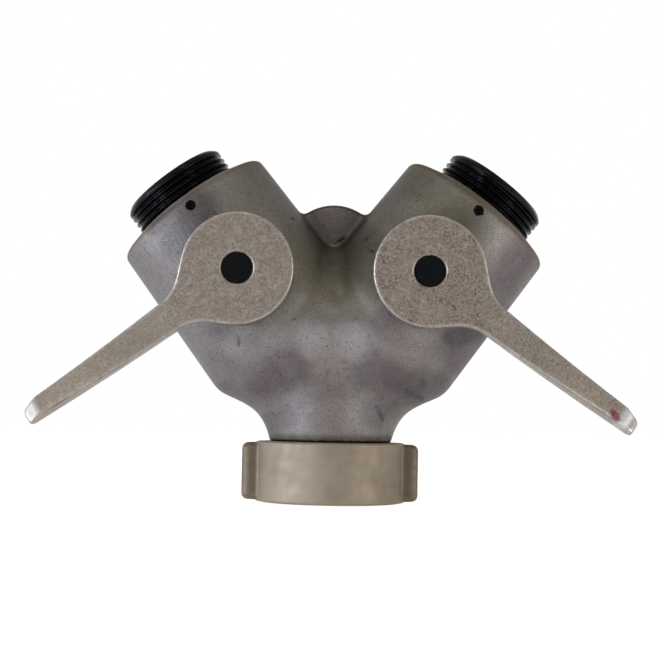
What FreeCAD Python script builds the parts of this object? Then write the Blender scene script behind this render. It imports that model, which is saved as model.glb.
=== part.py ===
import FreeCAD, Part
import math
import os
import Sketcher

# A gated wye for 1.5 inch fire hose: a swivel inlet below, two ball valves above.
# Origin at the centre of the inlet mouth, +Z up the inlet axis, +X to the right outlet, levers at -Y.
# Sizes are millimetres.

SIZES = [
    ("branch_angle", 37.5, "tilt of each outlet from the inlet axis, degrees"),
    ("junction_z", 48.0, "height where the three waterways meet"),
    ("ball_run", 68.2, "junction to ball centre along an outlet"),
    ("water_rad", 18.0, "outlet waterway radius"),
    ("neck_water_rad", 19.0, "inlet waterway radius"),
    ("mouth_run", 39.2, "ball centre to the outer rim of the barrel"),
    ("mouth_rad", 38.2, "barrel radius at its rim"),
    ("bevel_rise", 3.4, "rise of the conical mouth face"),
    ("bevel_inner_rad", 27.6, "inner edge of the conical mouth face"),
    ("shoulder_drop", 35.4, "ball centre back to the barrel shoulder"),
    ("shoulder_rad", 40.0, "barrel radius at its shoulder"),
    ("toe_drop", 66.2, "ball centre back to the end of the barrel cone"),
    ("toe_rad", 23.2, "end radius of the barrel cone"),
    ("shoulder_round", 8.0, "rounding of the barrel shoulder"),
    ("rim_round", 3.5, "rounding of the barrel rim"),
    ("chamber_rad", 27.0, "ball chamber and mouth bore radius"),
    ("chamber_drop", 14.0, "ball centre back to the chamber floor"),
    ("pocket_rad", 24.05, "seat pocket radius"),
    ("pocket_run", 21.05, "ball centre to a seat pocket floor"),
    ("spare", 3.0, "overrun of cutting shapes"),
    ("reach", 200.0, "size of the half space right of the inlet axis"),
    ("web_rad", 22.7, "radius of the web's round top"),
    ("web_z", 113.3, "height of the web's centre"),
    ("web_half", 7.0, "half thickness of the web"),
    ("web_fillet", 4.0, "fillet between the web and the barrels"),
    ("boss_rad", 20.5, "stem boss radius"),
    ("boss_root", 28.0, "start of the stem boss, from the ball centre"),
    ("boss_face", 41.4, "boss face, from the ball centre"),
    ("tail_rad", 25.0, "radius of the tail inside the swivel"),
    ("tail_z", 20.3, "lower end of the tail"),
    ("neck_z", 28.0, "lower face of the neck"),
    ("ring_seat_rad", 23.8, "bottom of the tail's ring groove"),
    ("ring_seat_low", 23.1, "lower side of the tail's ring groove"),
    ("ring_seat_high", 24.9, "upper side of the tail's ring groove"),
    ("ring_in_rad", 23.9, "retaining ring inner radius"),
    ("ring_out_rad", 26.3, "retaining ring outer radius"),
    ("ring_low", 23.2, "retaining ring lower face"),
    ("ring_high", 24.8, "retaining ring upper face"),
    ("ring_sweep", 348.0, "arc of the split retaining ring, degrees"),
    ("collar_rad", 33.2, "swivel outer radius"),
    ("collar_height", 27.4, "swivel height"),
    ("collar_edge", 0.8, "swivel edge chamfer"),
    ("inlet_rad", 23.9, "inlet thread minor radius"),
    ("inlet_depth", 15.0, "inlet thread depth"),
    ("gasket_pocket_rad", 26.4, "gasket recess radius"),
    ("gasket_pocket_z", 19.9, "gasket recess roof"),
    ("bearing_rad", 25.35, "swivel bore around the tail"),
    ("race_rad", 26.8, "bottom of the swivel's ring groove"),
    ("race_low", 22.8, "lower side of the swivel's ring groove"),
    ("race_high", 25.2, "upper side of the swivel's ring groove"),
    ("lug_root", 30.0, "inner end of a rocker lug"),
    ("lug_reach", 40.2, "outer end of a rocker lug"),
    ("lug_half", 7.0, "half width of a rocker lug"),
    ("lug_low", 0.5, "lower end of a rocker lug"),
    ("lug_height", 26.4, "height of a rocker lug"),
    ("lug_round", 2.6, "rounding of a rocker lug"),
    ("gasket_in_rad", 19.5, "gasket inner radius"),
    ("gasket_out_rad", 26.2, "gasket outer radius"),
    ("gasket_low", 15.1, "gasket lower face"),
    ("gasket_high", 19.8, "gasket upper face"),
    ("adapter_rad", 26.95, "adapter radius inside the barrel"),
    ("adapter_inner", 14.6, "ball centre to the adapter's inner end"),
    ("adapter_ledge", 42.4, "ball centre to the adapter's outer ledge"),
    ("relief_rad", 23.8, "thread relief radius"),
    ("relief_width", 1.0, "thread relief width"),
    ("outlet_rad", 25.275, "outlet thread major radius"),
    ("outlet_end", 55.7, "ball centre to the outlet's end"),
    ("outlet_edge", 2.0, "outlet thread end chamfer"),
    ("seal_groove_rad", 25.0, "bottom of the adapter's seal groove"),
    ("seal_groove_low", 24.0, "inner side of the adapter's seal groove"),
    ("seal_groove_high", 26.5, "outer side of the adapter's seal groove"),
    ("seal_in_rad", 25.05, "adapter ring inner radius"),
    ("seal_out_rad", 26.95, "adapter ring outer radius"),
    ("seal_low", 24.1, "adapter ring inner side"),
    ("seal_high", 26.4, "adapter ring outer side"),
    ("seat_in_rad", 18.2, "seat inner radius"),
    ("seat_out_rad", 24.0, "seat outer radius"),
    ("seat_lip", 18.48, "ball centre to the seat's inner lip"),
    ("seat_nose", 12.62, "ball centre to the seat's nose"),
    ("seat_nose_rad", 22.6, "seat nose radius"),
    ("seat_back", 21.0, "ball centre to the seat's back"),
    ("ball_rad", 25.5, "ball radius"),
    ("slot_half", 3.2, "half width of the ball's drive slot"),
    ("slot_floor", 20.5, "ball centre to the slot floor"),
    ("tang_half", 3.0, "half thickness of the stem tang"),
    ("tang_reach", 8.5, "half length of the stem tang"),
    ("tang_end", 20.8, "ball centre to the tang's end"),
    ("flange_low", 26.2, "inner face of the stem flange"),
    ("flange_high", 30.0, "outer face of the stem flange"),
    ("flange_rad", 10.0, "stem flange radius"),
    ("recess_rad", 10.5, "recess for the stem flange"),
    ("recess_face", 31.1, "floor of the stem flange recess"),
    ("washer_in_rad", 7.2, "thrust washer inner radius"),
    ("washer_high", 31.0, "thrust washer outer face"),
    ("stem_rad", 7.0, "stem radius"),
    ("stem_bore_rad", 7.06, "stem bore radius"),
    ("stem_step", 41.9, "start of the two-flat drive"),
    ("stem_top", 46.0, "outer end of the stem"),
    ("stem_groove_rad", 5.6, "bottom of the stem's ring grooves"),
    ("groove_one_low", 33.0, "first stem groove, inner side"),
    ("groove_one_high", 34.8, "first stem groove, outer side"),
    ("groove_two_low", 36.6, "second stem groove, inner side"),
    ("groove_two_high", 38.4, "second stem groove, outer side"),
    ("stem_ring_in_rad", 5.65, "stem ring inner radius"),
    ("stem_ring_gap", 0.1, "side clearance of the stem rings"),
    ("drive_half", 4.5, "half distance across the drive flats"),
    ("drive_gap", 0.05, "clearance of the drive"),
    ("tap_rad", 3.05, "tapped hole in the stem"),
    ("tap_floor", 36.0, "floor of the tapped hole"),
    ("screw_rad", 3.0, "lever screw radius"),
    ("screw_end", 36.6, "inner end of the lever screw"),
    ("screw_seat", 46.2, "floor of the lever counterbore"),
    ("screw_head_rad", 6.3, "lever screw head radius"),
    ("screw_head_top", 48.2, "outer face of the lever screw"),
    ("cap_rad", 6.8, "plug radius"),
    ("cap_low", 48.4, "inner face of the plug"),
    ("cap_high", 49.3, "outer face of the plug"),
    ("cap_edge", 0.3, "plug edge chamfer"),
    ("counterbore_rad", 6.85, "lever counterbore radius"),
    ("counterbore_edge", 0.5, "lever counterbore chamfer"),
    ("hub_rad", 24.4, "lever hub radius"),
    ("hub_back", 42.0, "back of the lever hub, from the ball centre"),
    ("hub_front", 50.0, "front of the lever hub, from the ball centre"),
    ("hub_edge", 0.8, "lever hub edge chamfer"),
    ("arm_round", 1.2, "rounding of the arm's long edges"),
    ("tip_round", 0.7, "rounding of the arm's end"),
    ("stop_run", 17.0, "stop pin distance from the stem axis"),
    ("stop_rad", 2.0, "stop pin radius"),
    ("stop_low", 33.5, "inner end of the stop pin"),
    ("stop_high", 44.3, "outer end of the stop pin"),
    ("track_in_rad", 14.4, "inner side of the lever's stop track"),
    ("track_out_rad", 19.6, "outer side of the lever's stop track"),
    ("track_floor", 44.9, "floor of the lever's stop track"),
    ("track_sweep", 106.0, "arc of the stop track, degrees"),
    ("track_start", 82.0, "start of the stop track from the arm, degrees"),
    ("lock_run", 35.5, "ball centre to the set screw along the outlet"),
    ("lock_rad", 2.3, "set screw radius"),
    ("lock_hole_rad", 2.35, "set screw hole radius"),
    ("lock_low", 27.05, "inner end of the set screw"),
    ("lock_high", 33.6, "outer end of the set screw"),
    ("lock_socket", 1.45, "set screw socket, corner radius"),
    ("lock_socket_floor", 30.6, "floor of the set screw socket"),
]

# Neck and flare: height, half width and half depth of its oval sections.
FLARE = [
    ("flare_a", 28.0, 27.65, 27.65),
    ("flare_b", 34.0, 29.9, 28.5),
    ("flare_c", 41.0, 34.2, 29.6),
    ("flare_d", 46.0, 41.0, 30.4),
    ("flare_e", 52.0, 47.4, 30.8),
    ("flare_f", 62.0, 49.5, 30.6),
    ("flare_g", 74.0, 46.0, 28.6),
]

# Lever arm: distance from the hub axis, half width, half thickness, lift toward the user, roll in degrees.
ARM = [
    ("arm_a", 16.0, 13.5, 3.1, 46.7, 0.0),
    ("arm_b", 27.0, 9.2, 3.1, 46.7, 0.0),
    ("arm_c", 36.0, 7.4, 3.1, 46.7, -2.0),
    ("arm_d", 50.0, 6.5, 3.15, 47.8, -6.5),
    ("arm_e", 68.0, 5.8, 3.2, 50.7, -13.5),
    ("arm_f", 86.0, 5.0, 3.2, 55.8, -20.5),
    ("arm_g", 108.8, 4.2, 3.1, 65.2, -29.5),
]

AT_BALL = "vector(Sheet.ball_run * sin(Sheet.branch_angle); 0; "
AT_BALL += "Sheet.junction_z + Sheet.ball_run * cos(Sheet.branch_angle))"
TILT = "rotation(vector(0; 1; 0); Sheet.branch_angle)"
FRAMES = {
    "branch": "placement(" + AT_BALL + "; " + TILT + ")",
    "valve": "placement(" + AT_BALL + "; " + TILT + " * rotation(vector(1; 0; 0); 90))",
}

# Two lengths closer than this are the same when edges are picked.
NEAR = 1e-3

doc = FreeCAD.newDocument("WyeValve")
values = {}
nodes = {}


def write_sheet():
    """One row for each driving size: its name, its number and what it is."""
    sheet = doc.addObject("Spreadsheet::Sheet", "Sheet")
    rows = list(SIZES)
    for name, height, half_width, half_depth in FLARE:
        rows.append((name + "_height", height, "height of a neck section"))
        rows.append((name + "_wide", half_width, "half width of a neck section"))
        rows.append((name + "_deep", half_depth, "half depth of a neck section"))
    for name, run, half_width, half_thick, lift, roll in ARM:
        rows.append((name + "_run", run, "arm section, distance from the hub axis"))
        rows.append((name + "_wide", half_width, "arm section, half width"))
        rows.append((name + "_thick", half_thick, "arm section, half thickness"))
        rows.append((name + "_lift", lift, "arm section, distance from the ball centre"))
        rows.append((name + "_roll", roll, "arm section, roll in degrees"))
    for number, (name, value, note) in enumerate(rows, start=1):
        sheet.set("A%d" % number, note)
        sheet.set("B%d" % number, str(value))
        sheet.setAlias("B%d" % number, name)
        values[name] = value
    doc.recompute()


def measure(text):
    """Value of a sum of named sizes, such as 'mouth_run + bevel_rise'."""
    total = 0.0
    sign = 1.0
    for word in text.split():
        if word in "+-":
            sign = -1.0 if word == "-" else 1.0
        elif word != "0":
            total += sign * values[word]
    return total


def formula(text):
    """The same sum written for the sheet."""
    words = [word if word in "+-0" else "Sheet." + word for word in text.split()]
    return " ".join(words)


def bind(thing, **sums):
    """Tie properties to sums of named sizes."""
    for name, text in sums.items():
        thing.setExpression(name, formula(text))


def place(thing, frame):
    """Move a piece from its own frame to its branch."""
    thing.setExpression("Placement", FRAMES[frame])
    return thing


def origin_plane(body, role):
    return [item for item in body.Origin.OriginFeatures if item.Role == role][0]


def hold(sketch, geometry, pair):
    """Two bound distances hold the start of a line or a point; a zero puts it on the axis."""
    for kind, axis, text in (("DistanceX", -2, pair[0]), ("DistanceY", -1, pair[1])):
        if text == "0":
            sketch.addConstraint(Sketcher.Constraint("PointOnObject", geometry, 1, axis))
            continue
        number = sketch.addConstraint(Sketcher.Constraint(kind, -1, 1, geometry, 1, measure(text)))
        held = "%s%d" % (kind, geometry)
        sketch.renameConstraint(number, held)
        sketch.setExpression("Constraints." + held, formula(text))


def corner_arc(before, corner, after, radius):
    """Arc that rounds a corner, its touch points on the two sides, and whether it turns left."""
    first = (before - corner).normalize()
    second = (after - corner).normalize()
    half_angle = first.getAngle(second) / 2
    reach = radius / math.tan(half_angle)
    start = corner + first * reach
    end = corner + second * reach
    centre = corner + (first + second).normalize() * (radius / math.sin(half_angle))
    left = (corner - before).cross(after - corner).z > 0
    low, high = (start, end) if left else (end, start)
    angles = [math.atan2(spot.y - centre.y, spot.x - centre.x) for spot in (low, high)]
    if angles[1] < angles[0]:
        angles[1] += 2 * math.pi
    circle = Part.Circle(centre, FreeCAD.Vector(0, 0, 1), radius)
    return Part.ArcOfCircle(circle, angles[0], angles[1]), start, end, left


def outline(body, name, role, corners, rounds=None):
    """Closed outline on an origin plane through bound corners, some of them rounded."""
    rounds = rounds or {}
    sketch = body.newObject("Sketcher::SketchObject", name)
    sketch.AttachmentSupport = [(origin_plane(body, role), "")]
    sketch.MapMode = "FlatFace"
    points = [FreeCAD.Vector(measure(across), measure(along), 0) for across, along in corners]
    count = len(points)
    arcs = {}
    for index, radius in rounds.items():
        after = points[(index + 1) % count]
        arcs[index] = corner_arc(points[index - 1], points[index], after, measure(radius))
    for index in range(count):
        follower = (index + 1) % count
        start = arcs[index][2] if index in arcs else points[index]
        end = arcs[follower][1] if follower in arcs else points[follower]
        sketch.addGeometry(Part.LineSegment(start, end), False)
    for index in range(count):
        if index not in arcs:
            sketch.addConstraint(Sketcher.Constraint("Coincident", (index - 1) % count, 2, index, 1))
            hold(sketch, index, corners[index])
            continue
        arc = sketch.addGeometry(arcs[index][0], False)
        begin, finish = (1, 2) if arcs[index][3] else (2, 1)
        sketch.addConstraint(Sketcher.Constraint("Tangent", (index - 1) % count, 2, arc, begin))
        sketch.addConstraint(Sketcher.Constraint("Tangent", index, 1, arc, finish))
        number = sketch.addConstraint(Sketcher.Constraint("Radius", arc, measure(rounds[index])))
        sketch.renameConstraint(number, "Round%d" % index)
        sketch.setExpression("Constraints.Round%d" % index, formula(rounds[index]))
        point = sketch.addGeometry(Part.Point(points[index]), True)
        sketch.addConstraint(Sketcher.Constraint("PointOnObject", point, 1, (index - 1) % count))
        sketch.addConstraint(Sketcher.Constraint("PointOnObject", point, 1, index))
        hold(sketch, point, corners[index])
    return sketch


def turned(name, corners, sweep=None, rounds=None):
    """A body turned about its own Z axis from (radius, height) corners."""
    body = doc.addObject("PartDesign::Body", name)
    sketch = outline(body, name + "_outline", "XZ_Plane", corners, rounds)
    turn = body.newObject("PartDesign::Revolution", name + "_turn")
    turn.Profile = sketch
    turn.ReferenceAxis = (sketch, ["V_Axis"])
    turn.Angle = 360
    if sweep:
        bind(turn, Angle=sweep)
    sketch.Visibility = False
    doc.recompute()
    return body


def ring(name, inner, outer, low, high, sweep=None):
    return turned(name, [(inner, low), (outer, low), (outer, high), (inner, high)], sweep)


def rounded(body, name, radius, test):
    """Round the edges of a body that pass a test."""
    picked = ["Edge%d" % (number + 1) for number, edge in enumerate(body.Shape.Edges) if test(edge)]
    sharp = body.Tip
    fillet = body.newObject("PartDesign::Fillet", name)
    fillet.Base = (sharp, picked)
    bind(fillet, Radius=radius)
    doc.recompute()
    return body


def cylinder(name, radius, low, high, across="0", along="0", frame=None):
    """Round bar along Z from one height to another, at an offset from the axis of its frame."""
    bar = doc.addObject("Part::Cylinder", name)
    bar.setExpression("Radius", formula(radius))
    bar.setExpression("Height", formula(high) + " - (" + formula(low) + ")")
    spot = "vector(%s; %s; %s)" % (formula(across), formula(along), formula(low))
    shift = "placement(" + spot + "; rotation(vector(0; 0; 1); 0))"
    bar.setExpression("Placement", FRAMES[frame] + " * " + shift if frame else shift)
    return bar


def block(name, half_x, half_y, low, high):
    """Box centred on the Z axis."""
    box = doc.addObject("Part::Box", name)
    bind(box, Length=half_x + " + " + half_x, Width=half_y + " + " + half_y)
    box.setExpression("Height", formula(high) + " - (" + formula(low) + ")")
    box.setExpression("Placement.Base.x", "-(" + formula(half_x) + ")")
    box.setExpression("Placement.Base.y", "-(" + formula(half_y) + ")")
    box.setExpression("Placement.Base.z", formula(low))
    return box


def cut(name, base, tool):
    piece = doc.addObject("Part::Cut", name)
    piece.Base = base
    piece.Tool = tool
    return piece


def common(name, base, tool):
    piece = doc.addObject("Part::Common", name)
    piece.Base = base
    piece.Tool = tool
    return piece


def fuse(name, pieces):
    piece = doc.addObject("Part::MultiFuse", name)
    piece.Shapes = pieces
    piece.Refine = True
    return piece


def mirrored(name, source):
    """The same piece on the other side of the inlet axis."""
    twin = doc.addObject("Part::Mirroring", name)
    twin.Source = source
    twin.Normal = FreeCAD.Vector(1, 0, 0)
    return twin


def keep(label, piece):
    piece.Label = label
    nodes[label] = piece


def keep_pair(label, piece):
    """A right-hand piece and its mirror image."""
    keep("right_" + label, piece)
    keep("left_" + label, mirrored("left_" + label, piece))


# Wye body

def barrel():
    """Valve barrel: drafted tube with a conical mouth face and a conical end toward the neck."""
    body = turned("barrel", [
        ("0", "- toe_drop"),
        ("toe_rad", "- toe_drop"),
        ("shoulder_rad", "- shoulder_drop"),
        ("mouth_rad", "mouth_run"),
        ("bevel_inner_rad", "mouth_run + bevel_rise"),
        ("0", "mouth_run + bevel_rise"),
    ], rounds={2: "shoulder_round", 3: "rim_round"})
    return place(body, "branch")


def flare():
    """Neck that widens from a round foot into an oval under the barrels."""
    sections = []
    for name, height, half_width, half_depth in FLARE:
        oval = doc.addObject("Part::Ellipse", name)
        bind(oval, MajorRadius=name + "_wide", MinorRadius=name + "_deep")
        oval.setExpression("Placement.Base.z", formula(name + "_height"))
        sections.append(oval)
    loft = doc.addObject("Part::Loft", "flare")
    loft.Sections = sections
    loft.Solid = True
    loft.Ruled = False
    return loft


def web():
    """Round-topped plate that ties the two barrels together."""
    plate = doc.addObject("Part::Cylinder", "web")
    bind(plate, Radius="web_rad", Height="web_half + web_half")
    plate.Placement = FreeCAD.Placement(
        FreeCAD.Vector(0, values["web_half"], values["web_z"]),
        FreeCAD.Rotation(FreeCAD.Vector(1, 0, 0), 90))
    plate.setExpression("Placement.Base.y", formula("web_half"))
    plate.setExpression("Placement.Base.z", formula("web_z"))
    return plate


def tail():
    """Spigot below the neck with the groove for the retaining ring."""
    return turned("tail", [
        ("0", "tail_z"),
        ("tail_rad", "tail_z"),
        ("tail_rad", "ring_seat_low"),
        ("ring_seat_rad", "ring_seat_low"),
        ("ring_seat_rad", "ring_seat_high"),
        ("tail_rad", "ring_seat_high"),
        ("tail_rad", "neck_z + spare"),
        ("0", "neck_z + spare"),
    ])


def outlet_hollow():
    """Waterway, seat pocket, ball chamber and mouth bore of one outlet."""
    hollow = turned("outlet_hollow", [
        ("0", "- ball_run"),
        ("water_rad", "- ball_run"),
        ("water_rad", "- pocket_run"),
        ("pocket_rad", "- pocket_run"),
        ("pocket_rad", "- chamber_drop"),
        ("chamber_rad", "- chamber_drop"),
        ("chamber_rad", "mouth_run + bevel_rise + spare"),
        ("0", "mouth_run + bevel_rise + spare"),
    ])
    return place(hollow, "branch")


def stem_hollow():
    """Stem bore with the flange recess on its inner end."""
    hollow = turned("stem_hollow", [
        ("0", "tang_end"),
        ("recess_rad", "tang_end"),
        ("recess_rad", "recess_face"),
        ("stem_bore_rad", "recess_face"),
        ("stem_bore_rad", "boss_face + spare"),
        ("0", "boss_face + spare"),
    ])
    return place(hollow, "valve")


def web_corner(edge):
    """Whether an edge lies between the web and a barrel: as thick as the web, and not the web's own rim."""
    half = max(edge.BoundBox.YMax, -edge.BoundBox.YMin)
    return abs(half - values["web_half"]) < NEAR and not isinstance(edge.Curve, Part.Circle)


def wye_body():
    """Casting: a right half joined to its mirror image, filled beside the web, then hollowed."""
    boss = cylinder("boss", "boss_rad", "boss_root", "boss_face", frame="valve")
    blank = fuse("half_blank", [barrel(), flare(), web(), tail(), boss])
    side = doc.addObject("Part::Box", "right_side")
    bind(side, Length="reach", Width="reach + reach", Height="reach + reach")
    side.setExpression("Placement.Base.y", "-Sheet.reach")
    elbow = doc.addObject("Part::Sphere", "elbow")
    bind(elbow, Radius="neck_water_rad")
    elbow.setExpression("Placement.Base.z", formula("junction_z"))
    hollows = [
        cylinder("inlet_hollow", "neck_water_rad", "tail_z - spare", "junction_z"),
        elbow,
        outlet_hollow(),
        stem_hollow(),
        cylinder("stop_hole", "stop_rad", "stop_low", "boss_face + spare", "- stop_run", frame="valve"),
        cylinder("lock_hole", "lock_hole_rad", "boss_root - spare", "boss_face + spare",
                 along="lock_run", frame="valve"),
    ]
    half = common("half_solid", blank, side)
    whole = fuse("casting_blank", [half, mirrored("other_half", half)])
    doc.recompute()
    filled = doc.addObject("Part::Fillet", "casting_filled")
    filled.Base = whole
    radius = values["web_fillet"]
    edges = enumerate(whole.Shape.Edges, start=1)
    filled.Edges = [(number, radius, radius) for number, edge in edges if web_corner(edge)]
    right = fuse("hollows", hollows)
    both = fuse("all_hollows", [right, mirrored("other_hollows", right)])
    keep("wye_body", cut("casting", filled, both))


# Outlet pieces

def outlet_adapter():
    """Male nipple with a seat pocket inside and a seal groove outside."""
    return place(turned("outlet_adapter", [
        ("pocket_rad", "adapter_inner"),
        ("adapter_rad", "adapter_inner"),
        ("adapter_rad", "seal_groove_low"),
        ("seal_groove_rad", "seal_groove_low"),
        ("seal_groove_rad", "seal_groove_high"),
        ("adapter_rad", "seal_groove_high"),
        ("adapter_rad", "adapter_ledge"),
        ("relief_rad", "adapter_ledge"),
        ("relief_rad", "adapter_ledge + relief_width"),
        ("outlet_rad", "adapter_ledge + relief_width"),
        ("outlet_rad", "outlet_end - outlet_edge"),
        ("outlet_rad - outlet_edge", "outlet_end"),
        ("water_rad + outlet_edge", "outlet_end"),
        ("water_rad", "outlet_end - outlet_edge"),
        ("water_rad", "pocket_run"),
        ("pocket_rad", "pocket_run"),
    ]), "branch")


def outer_seat():
    """Ball seat with a coned face, held by the adapter."""
    return place(turned("outer_seat", [
        ("seat_in_rad", "seat_lip"),
        ("seat_nose_rad", "seat_nose"),
        ("seat_out_rad", "seat_nose"),
        ("seat_out_rad", "seat_back"),
        ("seat_in_rad", "seat_back"),
    ]), "branch")


def inner_seat():
    """The same seat on the neck side of the ball."""
    return place(turned("inner_seat", [
        ("seat_in_rad", "- seat_back"),
        ("seat_out_rad", "- seat_back"),
        ("seat_out_rad", "- seat_nose"),
        ("seat_nose_rad", "- seat_nose"),
        ("seat_in_rad", "- seat_lip"),
    ]), "branch")


def set_screw():
    """Headless screw with a hexagon socket."""
    shank = cylinder("lock_shank", "lock_rad", "lock_low", "lock_high", "0", "lock_run")
    socket = doc.addObject("Part::Prism", "lock_socket_tool")
    socket.Polygon = 6
    bind(socket, Circumradius="lock_socket", Height="lock_high - lock_socket_floor + spare")
    socket.setExpression("Placement.Base.y", formula("lock_run"))
    socket.setExpression("Placement.Base.z", formula("lock_socket_floor"))
    return place(cut("set_screw", shank, socket), "valve")


def stop_pin():
    return cylinder("stop_pin", "stop_rad", "stop_low", "stop_high", "- stop_run", frame="valve")


# Valve pieces

def ball():
    """Sphere with a through bore across the closed outlet and a drive slot toward the stem."""
    sphere = doc.addObject("Part::Sphere", "ball_sphere")
    bind(sphere, Radius="ball_rad")
    bore = doc.addObject("Part::Cylinder", "ball_bore")
    bore.Placement = FreeCAD.Placement(
        FreeCAD.Vector(-measure("ball_rad + spare"), 0, 0),
        FreeCAD.Rotation(FreeCAD.Vector(0, 1, 0), 90))
    bind(bore, Radius="water_rad", Height="ball_rad + ball_rad + spare + spare")
    bore.setExpression("Placement.Base.x", "-(" + formula("ball_rad + spare") + ")")
    slot = block("ball_slot", "slot_half", "ball_rad", "slot_floor", "ball_rad + spare")
    return place(cut("ball", sphere, fuse("ball_tools", [bore, slot])), "valve")


def drive_bar(name, radius, half, low, high):
    """Round bar with two flats."""
    bar = cylinder(name + "_bar", radius, low, high)
    flats = block(name + "_flats", half, "hub_rad", low, high)
    return common(name, bar, flats)


def stem():
    """Flanged stem: tang for the ball, two ring grooves, two-flat drive and a tapped end."""
    shaft = turned("stem_shaft", [
        ("0", "flange_low"),
        ("flange_rad", "flange_low"),
        ("flange_rad", "flange_high"),
        ("stem_rad", "flange_high"),
        ("stem_rad", "groove_one_low"),
        ("stem_groove_rad", "groove_one_low"),
        ("stem_groove_rad", "groove_one_high"),
        ("stem_rad", "groove_one_high"),
        ("stem_rad", "groove_two_low"),
        ("stem_groove_rad", "groove_two_low"),
        ("stem_groove_rad", "groove_two_high"),
        ("stem_rad", "groove_two_high"),
        ("stem_rad", "stem_step"),
        ("0", "stem_step"),
    ])
    tang = block("stem_tang", "tang_half", "tang_reach", "tang_end", "flange_low")
    drive = drive_bar("stem_drive", "stem_rad", "drive_half", "stem_step", "stem_top")
    tap = cylinder("stem_tap", "tap_rad", "tap_floor", "stem_top + spare")
    return place(cut("stem", fuse("stem_blank", [shaft, tang, drive]), tap), "valve")


def stem_rings():
    """Two square-cut seal rings."""
    first = ring("stem_ring_one", "stem_ring_in_rad", "stem_rad",
                 "groove_one_low + stem_ring_gap", "groove_one_high - stem_ring_gap")
    second = ring("stem_ring_two", "stem_ring_in_rad", "stem_rad",
                  "groove_two_low + stem_ring_gap", "groove_two_high - stem_ring_gap")
    pair = doc.addObject("Part::Compound", "stem_rings")
    pair.Links = [first, second]
    return place(pair, "valve")


def lever_screw():
    """Wide-headed screw that clamps the lever on the stem."""
    return place(turned("lever_screw", [
        ("0", "screw_end"),
        ("screw_rad", "screw_end"),
        ("screw_rad", "screw_seat"),
        ("screw_head_rad", "screw_seat"),
        ("screw_head_rad", "screw_head_top"),
        ("0", "screw_head_top"),
    ]), "valve")


def lever_plug():
    """Black cap pressed into the hub over the screw."""
    return place(turned("lever_plug", [
        ("0", "cap_low"),
        ("cap_rad", "cap_low"),
        ("cap_rad", "cap_high - cap_edge"),
        ("cap_rad - cap_edge", "cap_high"),
        ("0", "cap_high"),
    ]), "valve")


def arm_sections(body):
    """Rectangles across the arm, lifted and rolled along its length."""
    sections = []
    for name, run, half_width, half_thick, lift, roll in ARM:
        wide = name + "_wide"
        thick = name + "_thick"
        section = outline(body, name, "YZ_Plane", [
            ("- " + wide, "- " + thick),
            (wide, "- " + thick),
            (wide, thick),
            ("- " + wide, thick),
        ], rounds={corner: "arm_round" for corner in range(4)})
        section.AttachmentOffset = FreeCAD.Placement(
            FreeCAD.Vector(0, lift, run),
            FreeCAD.Rotation(FreeCAD.Vector(0, 0, 1), roll))
        turn = "rotation(vector(0; 0; 1); Sheet.%s_roll)" % name
        spot = "vector(0; Sheet.%s_lift; Sheet.%s_run)" % (name, name)
        section.setExpression("AttachmentOffset", "placement(%s; %s)" % (spot, turn))
        sections.append(section)
    return sections


def lever():
    """Cast lever: round hub, and an arm that narrows, bends toward the user and rolls."""
    body = turned("lever_blank", [
        ("0", "hub_back"),
        ("hub_rad - hub_edge", "hub_back"),
        ("hub_rad", "hub_back + hub_edge"),
        ("hub_rad", "hub_front - hub_edge"),
        ("hub_rad - hub_edge", "hub_front"),
        ("counterbore_rad + counterbore_edge", "hub_front"),
        ("counterbore_rad", "hub_front - counterbore_edge"),
        ("counterbore_rad", "screw_seat"),
        ("0", "screw_seat"),
    ])
    sections = arm_sections(body)
    arm = body.newObject("PartDesign::AdditiveLoft", "arm")
    arm.Profile = sections[0]
    arm.Sections = sections[1:]
    doc.recompute()

    def end_edge(edge):
        return all(vertex.X > values["arm_g_run"] - NEAR for vertex in edge.Vertexes)
    rounded(body, "tip_fillet", "tip_round", end_edge)
    drive = drive_bar("lever_drive", "stem_rad + drive_gap", "drive_half + drive_gap",
                      "hub_back - spare", "screw_seat + drive_gap")
    outer = cylinder("track_outer", "track_out_rad", "hub_back - spare", "track_floor")
    inner = cylinder("track_inner", "track_in_rad", "hub_back - spare", "track_floor")
    bind(outer, Angle="track_sweep")
    track = cut("track", outer, inner)
    turn = "rotation(vector(0; 0; 1); Sheet.track_start)"
    track.setExpression("Placement", "placement(vector(0; 0; 0); " + turn + ")")
    return place(cut("lever", body, fuse("lever_tools", [drive, track])), "valve")


# Inlet pieces

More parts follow.
